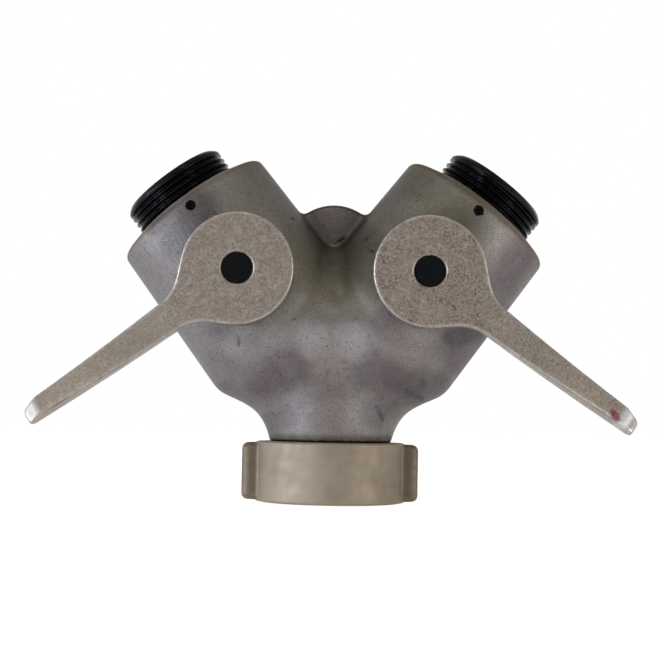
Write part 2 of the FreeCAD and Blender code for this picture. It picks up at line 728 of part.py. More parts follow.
def inlet_swivel():
    """Turned collar: threaded mouth, gasket recess, ring groove and two rocker lugs."""
    body = turned("inlet_swivel", [
        ("inlet_rad", "0"),
        ("collar_rad - collar_edge", "0"),
        ("collar_rad", "collar_edge"),
        ("collar_rad", "collar_height - collar_edge"),
        ("collar_rad - collar_edge", "collar_height"),
        ("bearing_rad", "collar_height"),
        ("bearing_rad", "race_high"),
        ("race_rad", "race_high"),
        ("race_rad", "race_low"),
        ("bearing_rad", "race_low"),
        ("bearing_rad", "gasket_pocket_z"),
        ("gasket_pocket_rad", "gasket_pocket_z"),
        ("gasket_pocket_rad", "inlet_depth"),
        ("inlet_rad", "inlet_depth"),
    ])
    foot = outline(body, "lug_outline", "XY_Plane", [
        ("lug_root", "- lug_half"),
        ("lug_reach", "- lug_half"),
        ("lug_reach", "lug_half"),
        ("lug_root", "lug_half"),
    ])
    foot.setExpression("AttachmentOffset.Base.z", formula("lug_low"))
    lug = body.newObject("PartDesign::Pad", "lug")
    lug.Profile = foot
    bind(lug, Length="lug_height")
    pair = body.newObject("PartDesign::PolarPattern", "lug_pair")
    pair.Originals = [lug]
    pair.Axis = ([item for item in body.Origin.OriginFeatures if item.Role == "Z_Axis"][0], [""])
    pair.Angle = 360
    pair.Occurrences = 2
    body.Tip = pair
    doc.recompute()

    def outer_edge(edge):
        return all(abs(abs(vertex.X) - values["lug_reach"]) < NEAR for vertex in edge.Vertexes)
    return rounded(body, "lug_fillet", "lug_round", outer_edge)


def build():
    write_sheet()
    wye_body()
    keep_pair("outlet_adapter", outlet_adapter())
    adapter_ring = ring("adapter_ring", "seal_in_rad", "seal_out_rad", "seal_low", "seal_high")
    keep_pair("adapter_ring", place(adapter_ring, "branch"))
    keep_pair("outer_seat", outer_seat())
    keep_pair("inner_seat", inner_seat())
    keep_pair("set_screw", set_screw())
    keep_pair("stop_pin", stop_pin())
    ring_sizes = ("ring_in_rad", "ring_out_rad", "ring_low", "ring_high", "ring_sweep")
    retaining_ring = ring("retaining_ring", *ring_sizes)
    keep("retaining_ring", retaining_ring)
    keep("inlet_swivel", inlet_swivel())
    gasket_sizes = ("gasket_in_rad", "gasket_out_rad", "gasket_low", "gasket_high")
    keep("inlet_gasket", ring("inlet_gasket", *gasket_sizes))
    keep_pair("ball", ball())
    keep_pair("stem", stem())
    keep_pair("stem_rings", stem_rings())
    thrust_washer = ring("thrust_washer", "washer_in_rad", "flange_rad", "flange_high", "washer_high")
    keep_pair("thrust_washer", place(thrust_washer, "valve"))
    keep_pair("lever", lever())
    keep_pair("lever_screw", lever_screw())
    keep_pair("lever_plug", lever_plug())
    doc.recompute()


def write_parts():
    """Check every object, then write one file for each piece."""
    for item in doc.Objects:
        if "Invalid" in item.State or "Error" in item.State:
            raise RuntimeError("bad feature " + item.Name)
    os.makedirs("parts", exist_ok=True)
    for label, piece in nodes.items():
        shape = piece.Shape
        if shape.isNull() or not shape.isValid():
            raise RuntimeError("bad shape " + label)
        shape.exportStep("parts/%s.step" % label)
        print(label, len(shape.Solids), round(shape.Volume, 1))


build()
write_parts()
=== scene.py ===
# %% [markdown]
# # Gated wye valve
# A wye takes water from one supply hose and sends it to two attack hoses, each with its own quarter-turn
# valve. The engineering model is loaded first and stays fixed. It gives every piece its true place, and the
# surfaces made below stand in for the pieces whose cast or threaded shape a plain solid can't show.

# %% Load the fixed model
import math

import bpy
import numpy as np
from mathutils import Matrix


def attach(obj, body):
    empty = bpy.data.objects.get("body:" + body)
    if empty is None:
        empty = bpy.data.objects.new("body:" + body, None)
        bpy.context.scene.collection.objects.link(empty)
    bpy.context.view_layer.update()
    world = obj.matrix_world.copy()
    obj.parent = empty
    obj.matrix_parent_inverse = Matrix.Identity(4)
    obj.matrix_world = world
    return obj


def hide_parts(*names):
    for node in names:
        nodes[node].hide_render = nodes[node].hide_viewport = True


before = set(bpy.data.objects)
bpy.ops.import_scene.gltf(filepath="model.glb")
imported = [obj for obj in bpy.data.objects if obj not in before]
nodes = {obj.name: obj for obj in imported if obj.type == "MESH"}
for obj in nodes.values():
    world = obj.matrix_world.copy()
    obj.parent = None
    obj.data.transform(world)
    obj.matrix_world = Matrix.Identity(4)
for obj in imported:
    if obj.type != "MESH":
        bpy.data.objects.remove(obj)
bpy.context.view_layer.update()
print("nodes in the model:", len(nodes))

# %% [markdown]
# ## Sizes shared by several pieces
# All shapes are written in millimetres, as on a drawing, and are turned to metres when a mesh is made.
# Each outlet leans 37.5 degrees from the inlet axis.
# A point can be read in the frame of a branch: how far along the outlet it is, how far across it,
# and how far toward the user.

# %% Branch and valve frames
MM = 0.001
LEAN = math.radians(37.5)
JUNCTION_Z = 48.0
BALL_RUN = 68.2
BALL_X = BALL_RUN * math.sin(LEAN)
BALL_Z = JUNCTION_Z + BALL_RUN * math.cos(LEAN)
SIDES = {"right": 1.0, "left": -1.0}


def branch_frame(points, side):
    """Distances along the outlet and across it, from the ball centre, for one side (+1 right, -1 left)."""
    x = side * points[..., 0] - BALL_X
    z = points[..., 2] - BALL_Z
    return x * math.sin(LEAN) + z * math.cos(LEAN), x * math.cos(LEAN) - z * math.sin(LEAN)


def from_valve(points):
    """Points of the right valve's own frame (arm, branch, user) turned into the model's frame."""
    arm, run, user = np.moveaxis(points, -1, 0)
    x = BALL_X + arm * math.cos(LEAN) + run * math.sin(LEAN)
    z = BALL_Z - arm * math.sin(LEAN) + run * math.cos(LEAN)
    return np.stack([x, -user, z], axis=-1)


print("ball centre, mm:", round(BALL_X, 2), round(BALL_Z, 2))

# %% [markdown]
# ## Soft joins
# A casting has no sharp inside corners: wherever two shapes meet, the pattern maker leaves a fillet.
# A field gives every point in space its distance from the metal, negative inside.
# Two fields join with a soft minimum, which leaves such a fillet, and a soft maximum rounds an outside edge.
# A boolean would leave a sharp line instead, so the shapes are joined before there is any mesh.

# %% Soft joins


def soft_max(first, second, reach):
    """The larger of two fields, rounded where they differ by less than the reach."""
    near = np.maximum(reach - np.abs(first - second), 0.0) / reach
    return np.maximum(first, second) + near * near * reach / 4.0


def soft_min(first, second, reach):
    """The smaller of two fields, filled where they differ by less than the reach."""
    return -soft_max(-first, -second, reach)


def round_join(first, second, radius):
    """Union of two fields with a fillet that is round in section."""
    corner = np.hypot(np.maximum(radius - first, 0.0), np.maximum(radius - second, 0.0))
    return np.maximum(np.minimum(first, second), radius) - corner


# %% [markdown]
# ## From a field to a surface
# The surface is where the field is zero. One vertex is set in every small cell that the surface crosses,
# then pushed along the field's slope until it lies on the surface. Four cells round a crossed edge of the
# grid make one quad. The slope also gives each vertex its normal, so the shading is smooth.

# %% Surface of a field
NEWTON_STEPS = 4
LEAST_SLOPE = 0.05


def slope(field, points, step=0.02):
    """Slope of a field by central differences."""
    moves = np.eye(3) * step
    parts = [field(points + move) - field(points - move) for move in moves]
    return np.stack(parts, axis=-1) / (2.0 * step)


def cell_crossings(values, cells, axes):
    """Mean of the points where a cell's twelve edges cross zero."""
    corners = np.array([(i, j, k) for i in (0, 1) for j in (0, 1) for k in (0, 1)])
    spots = cells[:, None, :] + corners[None, :, :]
    level = values[spots[..., 0], spots[..., 1], spots[..., 2]]
    place = np.stack([axes[a][spots[..., a]] for a in range(3)], axis=-1)
    pairs = [(a, b) for a in range(8) for b in range(a + 1, 8)
             if np.abs(corners[a] - corners[b]).sum() == 1]
    start, end = np.array(pairs).T
    crossed = (level[:, start] < 0) != (level[:, end] < 0)
    fall = np.where(crossed, level[:, start] - level[:, end], 1.0)
    share = np.where(crossed, level[:, start] / fall, 0.0)
    hits = place[:, start] + share[..., None] * (place[:, end] - place[:, start])
    weight = crossed[..., None].astype(float)
    return (hits * weight).sum(axis=1) / weight.sum(axis=1)


def net_faces(inside, index):
    """A quad round every grid edge whose ends lie on different sides of the surface."""
    quads = []
    limit = np.array(index.shape)
    for axis in range(3):
        first, second = [a for a in range(3) if a != axis]
        low = np.take(inside, range(inside.shape[axis] - 1), axis)
        high = np.take(inside, range(1, inside.shape[axis]), axis)
        edges = np.argwhere(low != high)
        edges = edges[(edges[:, first] > 0) & (edges[:, second] > 0)]
        edges = edges[(edges[:, first] < limit[first]) & (edges[:, second] < limit[second])]
        ring = []
        for back, left in ((1, 1), (0, 1), (0, 0), (1, 0)):
            cell = edges.copy()
            cell[:, first] -= back
            cell[:, second] -= left
            ring.append(index[cell[:, 0], cell[:, 1], cell[:, 2]])
        quad = np.stack(ring, axis=-1)
        outward = low[edges[:, 0], edges[:, 1], edges[:, 2]] ^ (axis == 1)
        quads.append(np.where(outward[:, None], quad, quad[:, ::-1]))
    return np.concatenate(quads)


def field_surface(field, low, high, cell):
    """Points, quads and normals of the surface where a field is zero, none of them outside a box."""
    axes = [np.arange(a - cell, b + 2 * cell, cell) for a, b in zip(low, high)]
    sheets = [np.stack(np.meshgrid([x], axes[1], axes[2], indexing="ij"), axis=-1) for x in axes[0]]
    values = np.stack([field(sheet)[0] for sheet in sheets])
    inside = values < 0
    count = sum(inside[i:i - 1 or None, j:j - 1 or None, k:k - 1 or None].astype(int)
                for i in (0, 1) for j in (0, 1) for k in (0, 1))
    cells = np.argwhere((count > 0) & (count < 8))
    index = np.full(count.shape, -1)
    index[tuple(cells.T)] = np.arange(len(cells))
    points = cell_crossings(values, cells, axes)
    for _ in range(NEWTON_STEPS):
        grade = slope(field, points)
        size = np.maximum((grade * grade).sum(-1, keepdims=True), LEAST_SLOPE)
        points = points - np.clip(field(points)[:, None] * grade / size, -cell, cell)
    points = np.clip(points, low, high)
    grade = slope(field, points)
    normals = grade / np.maximum(np.linalg.norm(grade, axis=-1, keepdims=True), 1e-6)
    return points, net_faces(inside, index), normals


def new_object(name, data):
    """Object in the scene for a mesh, a lamp or a camera."""
    made = bpy.data.objects.new(name, data)
    bpy.context.scene.collection.objects.link(made)
    return made


def mesh_piece(name, points, faces, normals=None):
    """Object from points in millimetres and faces, smooth shaded."""
    mesh = bpy.data.meshes.new(name)
    mesh.from_pydata((points * MM).tolist(), [], faces.tolist())
    mesh.polygons.foreach_set("use_smooth", np.ones(len(mesh.polygons), dtype=bool))
    if normals is not None:
        mesh.normals_split_custom_set_from_vertices(normals.tolist())
    print(name, "points", len(points), "faces", len(faces))
    return new_object(name, mesh)


# %% [markdown]
# ## Where a surface is worn and where shade is painted
# Handling rubs the outside edges of a piece bright, and inside corners are painted darker, as shade.
# The field tells the two apart. A short step into the metal from an edge stays near the outside,
# and a step out of a corner stays near the metal. Such marks are stored on the vertices, from 0 to 1,
# for the finishes to read.

# %% Edge and corner marks


def unit(values):
    """Values held between 0 and 1."""
    return np.clip(values, 0.0, 1.0)


def store(piece, name, values):
    """Put one number per vertex on a piece under a name."""
    layer = piece.data.attributes.new(name, "FLOAT", "POINT")
    layer.data.foreach_set("value", np.asarray(values, dtype=np.float32))


def paint_edges(piece, field, points, normals, step):
    """Store how far each vertex is an outside edge: twice what a step inward falls short of its length."""
    edge = unit(2.0 * (field(points - step * normals) / step + 1.0))
    store(piece, "edge", edge)
    print(piece.name, "edge share", round(float(edge.mean()), 3))


def shelter(field, points, normals, step, gain):
    """How far each vertex lies in an inside corner: what a step outward falls short, times a gain."""
    return unit(gain * (1.0 - field(points + step * normals) / step))


# %% [markdown]
# ## The outside of the casting
# The body is one sand casting in aluminium: two valve barrels that lean apart, a neck that carries the
# inlet, and a round-topped web that keeps the barrels from spreading.
# Each barrel is a slightly drafted cylinder with a coned foot and a coned mouth. The soft joins stand for
# the fillets that the molten metal needs to flow well. Three tubes meeting can't be wrapped by one sheet of
# two parameters without a fold, so the body is built as a field.

# %% Barrels, neck, web, bosses and tail
MOUTH_RUN, MOUTH_RAD, MOUTH_SLOPE, MOUTH_SOFT = 39.2, 38.2, 0.3208, 2.4
SHOULDER_RUN, SHOULDER_RAD = -35.4, 40.0
SHOULDER_SOFT, SHOULDER_SOFTER = 2.0, 7.0
DRAFT = (SHOULDER_RAD - MOUTH_RAD) / (MOUTH_RUN - SHOULDER_RUN)
FOOT_SLOPE = 0.5455
NECK_Z, NECK_RAD, NECK_RISE, NECK_TOP, NECK_SOFT = 28.0, 27.6, 30.0, 62.0, 6.0
FLARE, FLARE_GROWTH = 0.22, 0.0130
DEEP_GAIN, DEEP_LENGTH, DEEP_LOSS, DEEP_LOSS_RISE = 3.4, 9.0, 0.02, 16.0
WEB_Z, WEB_RAD, WEB_HALF, WEB_SOFT = 113.3, 22.7, 7.0, 3.5
BOSS_RAD, BOSS_FRONT, BOSS_BACK, BOSS_SOFT = 20.5, 41.4, 20.0, 1.0
TAIL_Z, TAIL_RAD, TAIL_TOP = 20.3, 25.0, 31.0
RING_Z, RING_HALF, RING_RAD = 24.0, 0.9, 23.8


def cone(height, radius, slope_in):
    """Shorten a height difference to the true distance from a sloped side."""
    return (height + slope_in * radius) / math.hypot(1.0, slope_in)


def barrel(points, side):
    """Drafted tube between a coned foot and a coned mouth, its shoulder softest at the front and back."""
    run, across = branch_frame(points, side)
    rad = np.hypot(across, points[..., 1])
    wall = cone(rad - MOUTH_RAD, run - MOUTH_RUN, DRAFT)
    foot = cone(rad - SHOULDER_RAD, SHOULDER_RUN - run, FOOT_SLOPE)
    mouth = cone(run - MOUTH_RUN, rad - MOUTH_RAD, MOUTH_SLOPE)
    front = unit(np.abs(points[..., 1]) / SHOULDER_RAD)
    shoulder = SHOULDER_SOFT + SHOULDER_SOFTER * front ** 2
    return soft_max(soft_max(wall, foot, shoulder), mouth, MOUTH_SOFT)


def neck(points):
    """Oval neck that widens upward from a round foot, its depth growing less than its width."""
    x, y, z = np.moveaxis(points, -1, 0)
    rise = np.clip(z - NECK_Z, 0.0, NECK_RISE)
    wide = NECK_RAD + FLARE * rise + FLARE_GROWTH * rise * rise
    loss = DEEP_LOSS * np.maximum(rise - DEEP_LOSS_RISE, 0.0) ** 2
    deep = NECK_RAD + DEEP_GAIN * (1.0 - np.exp(-rise / DEEP_LENGTH)) - loss
    oval = np.hypot(x / wide, y / deep)
    side = (oval - 1.0) * np.minimum(wide, deep)
    return soft_max(np.maximum(side, NECK_Z - z), z - NECK_TOP, NECK_SOFT)


def web(points):
    """Round plate between the barrels, its rim well rounded."""
    x, y, z = np.moveaxis(points, -1, 0)
    disc = np.hypot(x, z - WEB_Z) - WEB_RAD
    return soft_max(disc, np.abs(y) - WEB_HALF, WEB_SOFT)


def boss(points, side):
    """Short round boss that the stem comes out of."""
    run, across = branch_frame(points, side)
    ends = np.maximum(-points[..., 1] - BOSS_FRONT, points[..., 1] + BOSS_BACK)
    return soft_max(np.hypot(run, across) - BOSS_RAD, ends, BOSS_SOFT)


def tail(points):
    """Spigot below the neck that the swivel turns on, with a groove for the retaining ring."""
    x, y, z = np.moveaxis(points, -1, 0)
    rad = np.hypot(x, y)
    groove = np.maximum(np.abs(z - RING_Z) - RING_HALF, RING_RAD - rad)
    bar = np.maximum(rad - TAIL_RAD, np.maximum(TAIL_Z - z, z - TAIL_TOP))
    return np.maximum(bar, -groove)


print("draft of the barrels, degrees:", round(math.degrees(math.atan(DRAFT)), 2))

# %% [markdown]
# ## The whole casting
# The outside shapes are joined first. The valley between the barrels has a fillet that is wide at the
# bottom and shrinks toward the web. Then the waterway and the machined bores are cut: a pocket for the seat,
# a chamber for the ball, a bore for the stem, a hole for the stop pin and one for the set screw.

# %% Casting field
VALLEY_RAD, VALLEY_FOOT, VALLEY_TOP = 8.0, 60.0, 123.0
VALLEY_FADE, VALLEY_LEAST, VALLEY_BLEND = 7.0, 0.12, 20.0
VALLEY_GROWTH, VALLEY_SPREAD, VALLEY_HEIGHT = 14.0, 104.0, 30.0
FOOT_JOIN, NECK_JOIN, WEB_JOIN, BOSS_JOIN = 14.0, 6.0, 3.5, 3.0
INLET_RAD, BORE_RAD, HOLLOW_SOFT = 19.0, 18.0, 0.7
POCKET_RAD, POCKET_RUN = 24.05, 21.05
CHAMBER_RAD, CHAMBER_RUN = 27.0, 14.0
STEM_RAD, FLANGE_RAD, FLANGE_DEPTH = 7.06, 10.5, 31.1
PIN_ACROSS, PIN_RAD, PIN_DEPTH = 17.0, 2.0, 33.5
SCREW_RUN, SCREW_RAD, SCREW_DEPTH = 35.5, 2.35, 24.0


def casting_skin(points):
    """Outside of the casting: soft union of its barrels, neck, web, bosses and tail."""
    z = points[..., 2]
    right, left = barrel(points, 1), barrel(points, -1)
    valley = VALLEY_RAD * np.clip((VALLEY_TOP - z) / VALLEY_FADE, VALLEY_LEAST, 1.0)
    spread = unit((VALLEY_SPREAD - z) / VALLEY_HEIGHT)
    valley = valley + VALLEY_GROWTH * spread * spread * (3.0 - 2.0 * spread)
    upper = unit((z - VALLEY_FOOT) / VALLEY_BLEND)
    pair = upper * round_join(right, left, valley) + (1.0 - upper) * soft_min(right, left, FOOT_JOIN)
    body = soft_min(soft_min(pair, neck(points), NECK_JOIN), web(points), WEB_JOIN)
    body = soft_min(body, np.minimum(boss(points, 1), boss(points, -1)), BOSS_JOIN)
    return np.minimum(body, tail(points))


def branch_hollow(points, side):
    """Waterway, seat pocket, ball chamber, stem bore and seat, pin hole and screw hole of a branch."""
    run, across = branch_frame(points, side)
    depth = -points[..., 1]
    rad = np.hypot(across, depth)
    stem_rad = np.hypot(across, run)
    return np.minimum.reduce([
        np.maximum(rad - BORE_RAD, -BALL_RUN - run),
        np.maximum(rad - POCKET_RAD, -POCKET_RUN - run),
        np.maximum(rad - CHAMBER_RAD, -CHAMBER_RUN - run),
        np.maximum(stem_rad - STEM_RAD, -depth),
        np.maximum(stem_rad - FLANGE_RAD, np.maximum(depth - FLANGE_DEPTH, -depth)),
        np.maximum(np.hypot(across + PIN_ACROSS, run) - PIN_RAD, PIN_DEPTH - depth),
        np.maximum(np.hypot(across, run - SCREW_RUN) - SCREW_RAD, SCREW_DEPTH - depth),
    ])


def casting_field(points):
    """The whole casting: its outside, less the inlet, the elbow and the hollows of both branches."""
    x, y, z = np.moveaxis(points, -1, 0)
    rad = np.hypot(x, y)
    inlet = np.maximum(rad - INLET_RAD, z - JUNCTION_Z)
    elbow = np.sqrt(rad * rad + (z - JUNCTION_Z) ** 2) - INLET_RAD
    branches = np.minimum(branch_hollow(points, 1), branch_hollow(points, -1))
    return soft_max(casting_skin(points), -np.minimum(np.minimum(inlet, elbow), branches), HOLLOW_SOFT)


# %% [markdown]
# ## The casting's mesh
# The cells are a little over a millimetre wide, which shows every fillet but leaves a small screw hole
# ragged. The vertices nearest its rim are therefore moved onto the rim, and the skin beside it is shaded
# as if it had no hole, so that the hole looks drilled.

# %% Casting mesh
SCREW_FRONT = -20.0
RIM_REACH, RIM_LIFT = 0.7, 0.05
FLUSH_REACH, FLUSH_DEPTH = 3.6, 0.3


def drill_rims(points, normals):
    """Move vertices near a screw hole's rim onto the rim, and shade the skin beside it as if unbroken."""
    fold = np.where(points[:, :1] < 0.0, (-1.0, 1.0, 1.0), (1.0, 1.0, 1.0))
    folded = points * fold
    run, across = branch_frame(folded, 1)
    gap = np.hypot(across, run - SCREW_RUN)
    skin = np.where(folded[:, 1] < SCREW_FRONT, casting_skin(folded), -1.0)
    rim = (np.abs(gap - SCREW_RAD) < RIM_REACH) & (skin > -RIM_REACH)
    stretch = (SCREW_RAD + RIM_LIFT) / gap[rim]
    moved = [across[rim] * stretch, SCREW_RUN + (run[rim] - SCREW_RUN) * stretch, -folded[rim, 1]]
    spots = from_valve(np.stack(moved, axis=-1))
    for _ in range(3):
        spots[:, 1] -= casting_skin(spots) / slope(casting_skin, spots)[:, 1]
    points[rim] = spots * fold[rim]
    flush = rim | ((gap < FLUSH_REACH) & (skin > -FLUSH_DEPTH))
    grade = slope(casting_skin, points[flush])
    normals[flush] = grade / np.linalg.norm(grade, axis=-1, keepdims=True)
    print("vertices set on the screw holes' rims:", int(rim.sum()))


casting_points, casting_faces, casting_normals = field_surface(
    casting_field, low=(-96, -43, 19), high=(96, 41, 157), cell=1.16)
drill_rims(casting_points, casting_normals)
casting = mesh_piece("casting", casting_points, casting_faces, casting_normals)
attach(casting, "casting")
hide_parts("wye_body")

# %% [markdown]
# ## Marks on the casting
# A used body is not one even grey. Painted shade makes it olive and darker high between the barrels and
# darker still in the corners there and in its creases, and it is dusty at the mouths. On the front there
# are scars, cracks, stains, warm patches, painted highlights, and painted shade on the feet, on the right
# flank and in streaks. Noise alone would put them anywhere, so each is a stroke between two places of
# the front view, and the finish breaks it up with grain.

# %% Marks on the casting
RIM_WIDTH = 4.0
STROKE_FADE, STROKE_DEPTH = 1.6, 6.0
# Each stroke: x and z of its two ends, half its width, all in millimetres, and its strength.
STROKES = {
    "scar": ((23, 38, 20.5, 43.5, 0.9, 1), (33, 51, 41, 47.5, 1.1, 1), (-40.5, 69, -41.5, 73.5, 0.5, 1),
             (53, 75, 64, 78, 4, 0.85), (-60, 129, -68, 116, 8, 0.9), (27, 57, 37, 53, 5, 0.45),
             (-68, 127, -78, 121, 4, 0.8)),
    "crack": ((2.2, 119.2, 4.8, 121.2, 0.45, 1), (0.2, 117.6, 0.6, 117.8, 0.5, 1),
              (15, 113.2, 18, 112, 0.35, 0.8), (-18.9, 127.6, -18.6, 127.6, 0.6, 0.8),
              (14.4, 118.7, 14.7, 118.7, 0.5, 0.8)),
    # Stains, and painted shade on the two feet that face down and on the right flank.
    "stain_and_shade": ((-30, 55, -17, 60, 8.5, 1), (17, 60, 36, 54, 8.5, 1), (60, 66, 72, 84, 9, 1),
              (-50, 48, -40, 43, 5, 0.6), (42, 48, 50, 54, 6, 0.9), (74, 100, 82, 112, 8, 0.9),
              (-5, 129, 5, 129, 7, 1), (-52, 80, -36, 77, 6, 0.5), (22, 81, 27, 74, 5, 0.8),
              (-28, 36, -18, 38, 4, 0.7), (19, 40, 25, 46, 6, 0.8), (-8, 37, -3, 38, 4, 0.7)),
    # Painted highlights: on the two bulges under the web, low on the left flank and high on the left barrel.
    "pale": ((-9, 76, -8, 70, 6, 1), (8, 75, 9, 69, 6, 1),
             (-46, 64, -36, 62, 6, 0.5), (-42, 143, -22, 128, 8, 0.3)),
    "warm": ((-1, 62, 2, 38, 7, 0.7), (28, 72, 34, 66, 6, 0.6)),
    # Painted shade: in the valley under the web, at the foot of the neck and high on the right barrel.
    "painted_shade": ((1, 112, 2, 94, 6, 1), (16, 118, 14, 104, 6, 1),
             (-26, 28, 26, 28, 2.4, 1), (36, 146, 58, 132, 8, 0.65)),
}


def strokes(points, rows):
    """Strength of the strongest stroke at each vertex, fading past its half width and toward the back."""
    marks = []
    for x0, z0, x1, z1, half, strength in rows:
        along = np.array([x1 - x0, z1 - z0])
        spot = points[:, [0, 2]] - np.array([x0, z0])
        share = unit(spot @ along / (along @ along))
        gap = np.linalg.norm(spot - share[:, None] * along, axis=-1)
        near = unit(STROKE_FADE - gap / half)
        marks.append(strength * near * near * (3.0 - 2.0 * near))
    return np.max(marks, axis=0) * unit(-points[:, 1] / STROKE_DEPTH)


def casting_marks(points, normals):
    """Dusty mouths, the strokes, and painted shade: in creases, and olive high between the barrels."""
    x, z = points[:, 0], points[:, 2]
    run = np.maximum(*[branch_frame(points, side)[0] for side in SIDES.values()])
    # Painted shade: olive and darker high between the barrels, more so on the right.
    olive_shade = unit((z - np.abs(x) - 30.0) / 50.0) * unit((z - 72.0) / 22.0)
    olive_shade = olive_shade * np.clip(0.85 + x / 200.0, 0.6, 1.0)
    shade = shelter(casting_field, points, normals, step=16.0, gain=2.4)
    marks = {name: strokes(points, rows) for name, rows in STROKES.items()}
    # Painted shade in the creases.
    marks["crease_shade"] = shelter(casting_field, points, normals, step=3.0, gain=1.5)
    marks["rim"] = unit((run - MOUTH_RUN + RIM_WIDTH) / RIM_WIDTH)
    marks["olive_shade"] = olive_shade
    # Painted shade in the corners high between the barrels, more so on the right.
    marks["corner_shade"] = shade * olive_shade * np.clip(0.55 + x / 45.0, 0.1, 1.0)
    return marks


paint_edges(casting, casting_field, casting_points, casting_normals, step=1.4)
for name, values in casting_marks(casting_points, casting_normals).items():
    store(casting, name, values)
    print("casting", name, "share", round(float(values.mean()), 3))

# %% [markdown]
# ## The levers
# Each lever is a small casting tumbled with grit until its corners are soft and its skin is bright.
# The hub is a flat disc. The arm leaves it flush at the front, narrows, bends toward the user and rolls,
# so that a gloved hand can get behind it, and its nose is worn to a slant.
# The roll and the bend are taken out of a point first, and then it is measured against a flat outline.

# %% Lever field
HUB_RAD, HUB_FRONT, HUB_HALF, HUB_JOIN = 24.4, 50.0, 4.0, 12.0
BEND_START, BEND_SOFT, BEND_RATE = 33.0, 5.0, 0.00315
ROLL_RATE = -0.39
THIN_START, THIN_SOFT, THIN_LOSS = 31.0, 1.6, 0.9
ARM_END, ARM_MID, ARM_HALF, ARM_TAPER, ARM_OFFSET = 108.2, 50.0, 6.3, 0.0420, 0.35
END_SOFT, EDGE_SOFT, NOSE_SOFT, HOLE_SOFT = 2.2, 0.9, 1.5, 0.35
NOSE_START, NOSE_SLOPE = 101.2, 0.56
PLUG_RAD, PLUG_FLOOR, PLUG_CHAMFER = 6.85, 46.2, 49.45
DRIVE_RAD, DRIVE_FLAT, DRIVE_TOP = 7.05, 4.55, 46.6
TRACK_RAD, TRACK_HALF, TRACK_TOP = 17.0, 2.6, 44.9
TRACK_MIDDLE, TRACK_SWING = math.radians(135.0), math.radians(53.0)


def ramp(value, softness):
    """Zero below zero and rising by one above, with a soft start."""
    return (value + np.sqrt(value * value + softness * softness)) / 2.0


def flatten(points):
    """Place across the arm, place through it and half its thickness, with the bend and roll taken out."""
    arm, run, user = np.moveaxis(points, -1, 0)
    past = ramp(arm - BEND_START, BEND_SOFT)
    bend = BEND_RATE * past * past
    roll = np.radians(ROLL_RATE * past)
    thick = HUB_HALF - THIN_LOSS / (1.0 + np.exp((THIN_START - arm) / THIN_SOFT))
    height = user - HUB_FRONT - bend + thick
    return run * np.cos(roll) + height * np.sin(roll), height * np.cos(roll) - run * np.sin(roll), thick


def lever_holes(points):
    """Counterbore for the plug, two-flat drive hole for the stem and curved track for the stop pin."""
    arm, run, user = np.moveaxis(points, -1, 0)
    rad = np.hypot(arm, run)
    bore = np.maximum(rad - PLUG_RAD - np.maximum(user - PLUG_CHAMFER, 0.0), PLUG_FLOOR - user)
    drive = np.maximum(np.maximum(rad - DRIVE_RAD, np.abs(arm) - DRIVE_FLAT), user - DRIVE_TOP)
    swing = np.abs(np.angle((arm + 1j * run) * np.exp(-1j * TRACK_MIDDLE))) - TRACK_SWING
    track = np.maximum(np.maximum(np.abs(rad - TRACK_RAD) - TRACK_HALF, user - TRACK_TOP), swing * rad)
    return np.minimum(np.minimum(bore, drive), track)


def lever_field(points):
    """Hub disc joined to a bent and rolled arm with a slanted nose, less its holes."""
    arm = points[..., 0]
    flat_run, flat_user, thick = flatten(points)
    disc = np.hypot(arm, points[..., 1]) - HUB_RAD
    strip = np.maximum(np.abs(flat_run - ARM_OFFSET) - (ARM_HALF - ARM_TAPER * (arm - ARM_MID)), -arm)
    plan = soft_max(soft_min(disc, strip, HUB_JOIN), arm - ARM_END, END_SOFT)
    solid = soft_max(plan, np.abs(flat_user) - thick, EDGE_SOFT)
    nose = flat_user - thick + NOSE_SLOPE * (arm - NOSE_START)
    return soft_max(soft_max(solid, nose, NOSE_SOFT), -lever_holes(points), HOLE_SOFT)


lever_points, lever_faces, lever_normals = field_surface(
    lever_field, low=(-26, -26, 41), high=(111, 26, 71), cell=0.62)
print("lever reaches toward the user, mm:", round(float(lever_points[:, 2].max()), 1))

# %% [markdown]
# ## A pair of levers and their marks
# The left lever is the right one mirrored, so its faces are turned round to point outwards again.
# The right one has been handled more: it will show more specks and a brighter band on its nose, and it has
# kept a trace of red paint. Both have a dark line along the side walls of the arm, just below the front
# edge.
# Their side walls carry a painted reflection: cream on the arms and mauve on the hub walls that face down.

# %% Lever meshes
HANDLED = {"right": 0.7, "left": 0.25}
NOSE_BAND = {"right": (98.7, 105.5), "left": (100.2, 112.0)}
GRIP_START, GRIP_LENGTH = 28.0, 14.0
PAINT_ARM, PAINT_RUN, PAINT_TURN = 98.0, -1.0, math.radians(20.0)
PAINT_LONG, PAINT_WIDE = 3.3, 1.8
DARK_LINE_DEPTH, DARK_LINE_HALF, DARK_LINE_START = 1.3, 0.8, 30.0


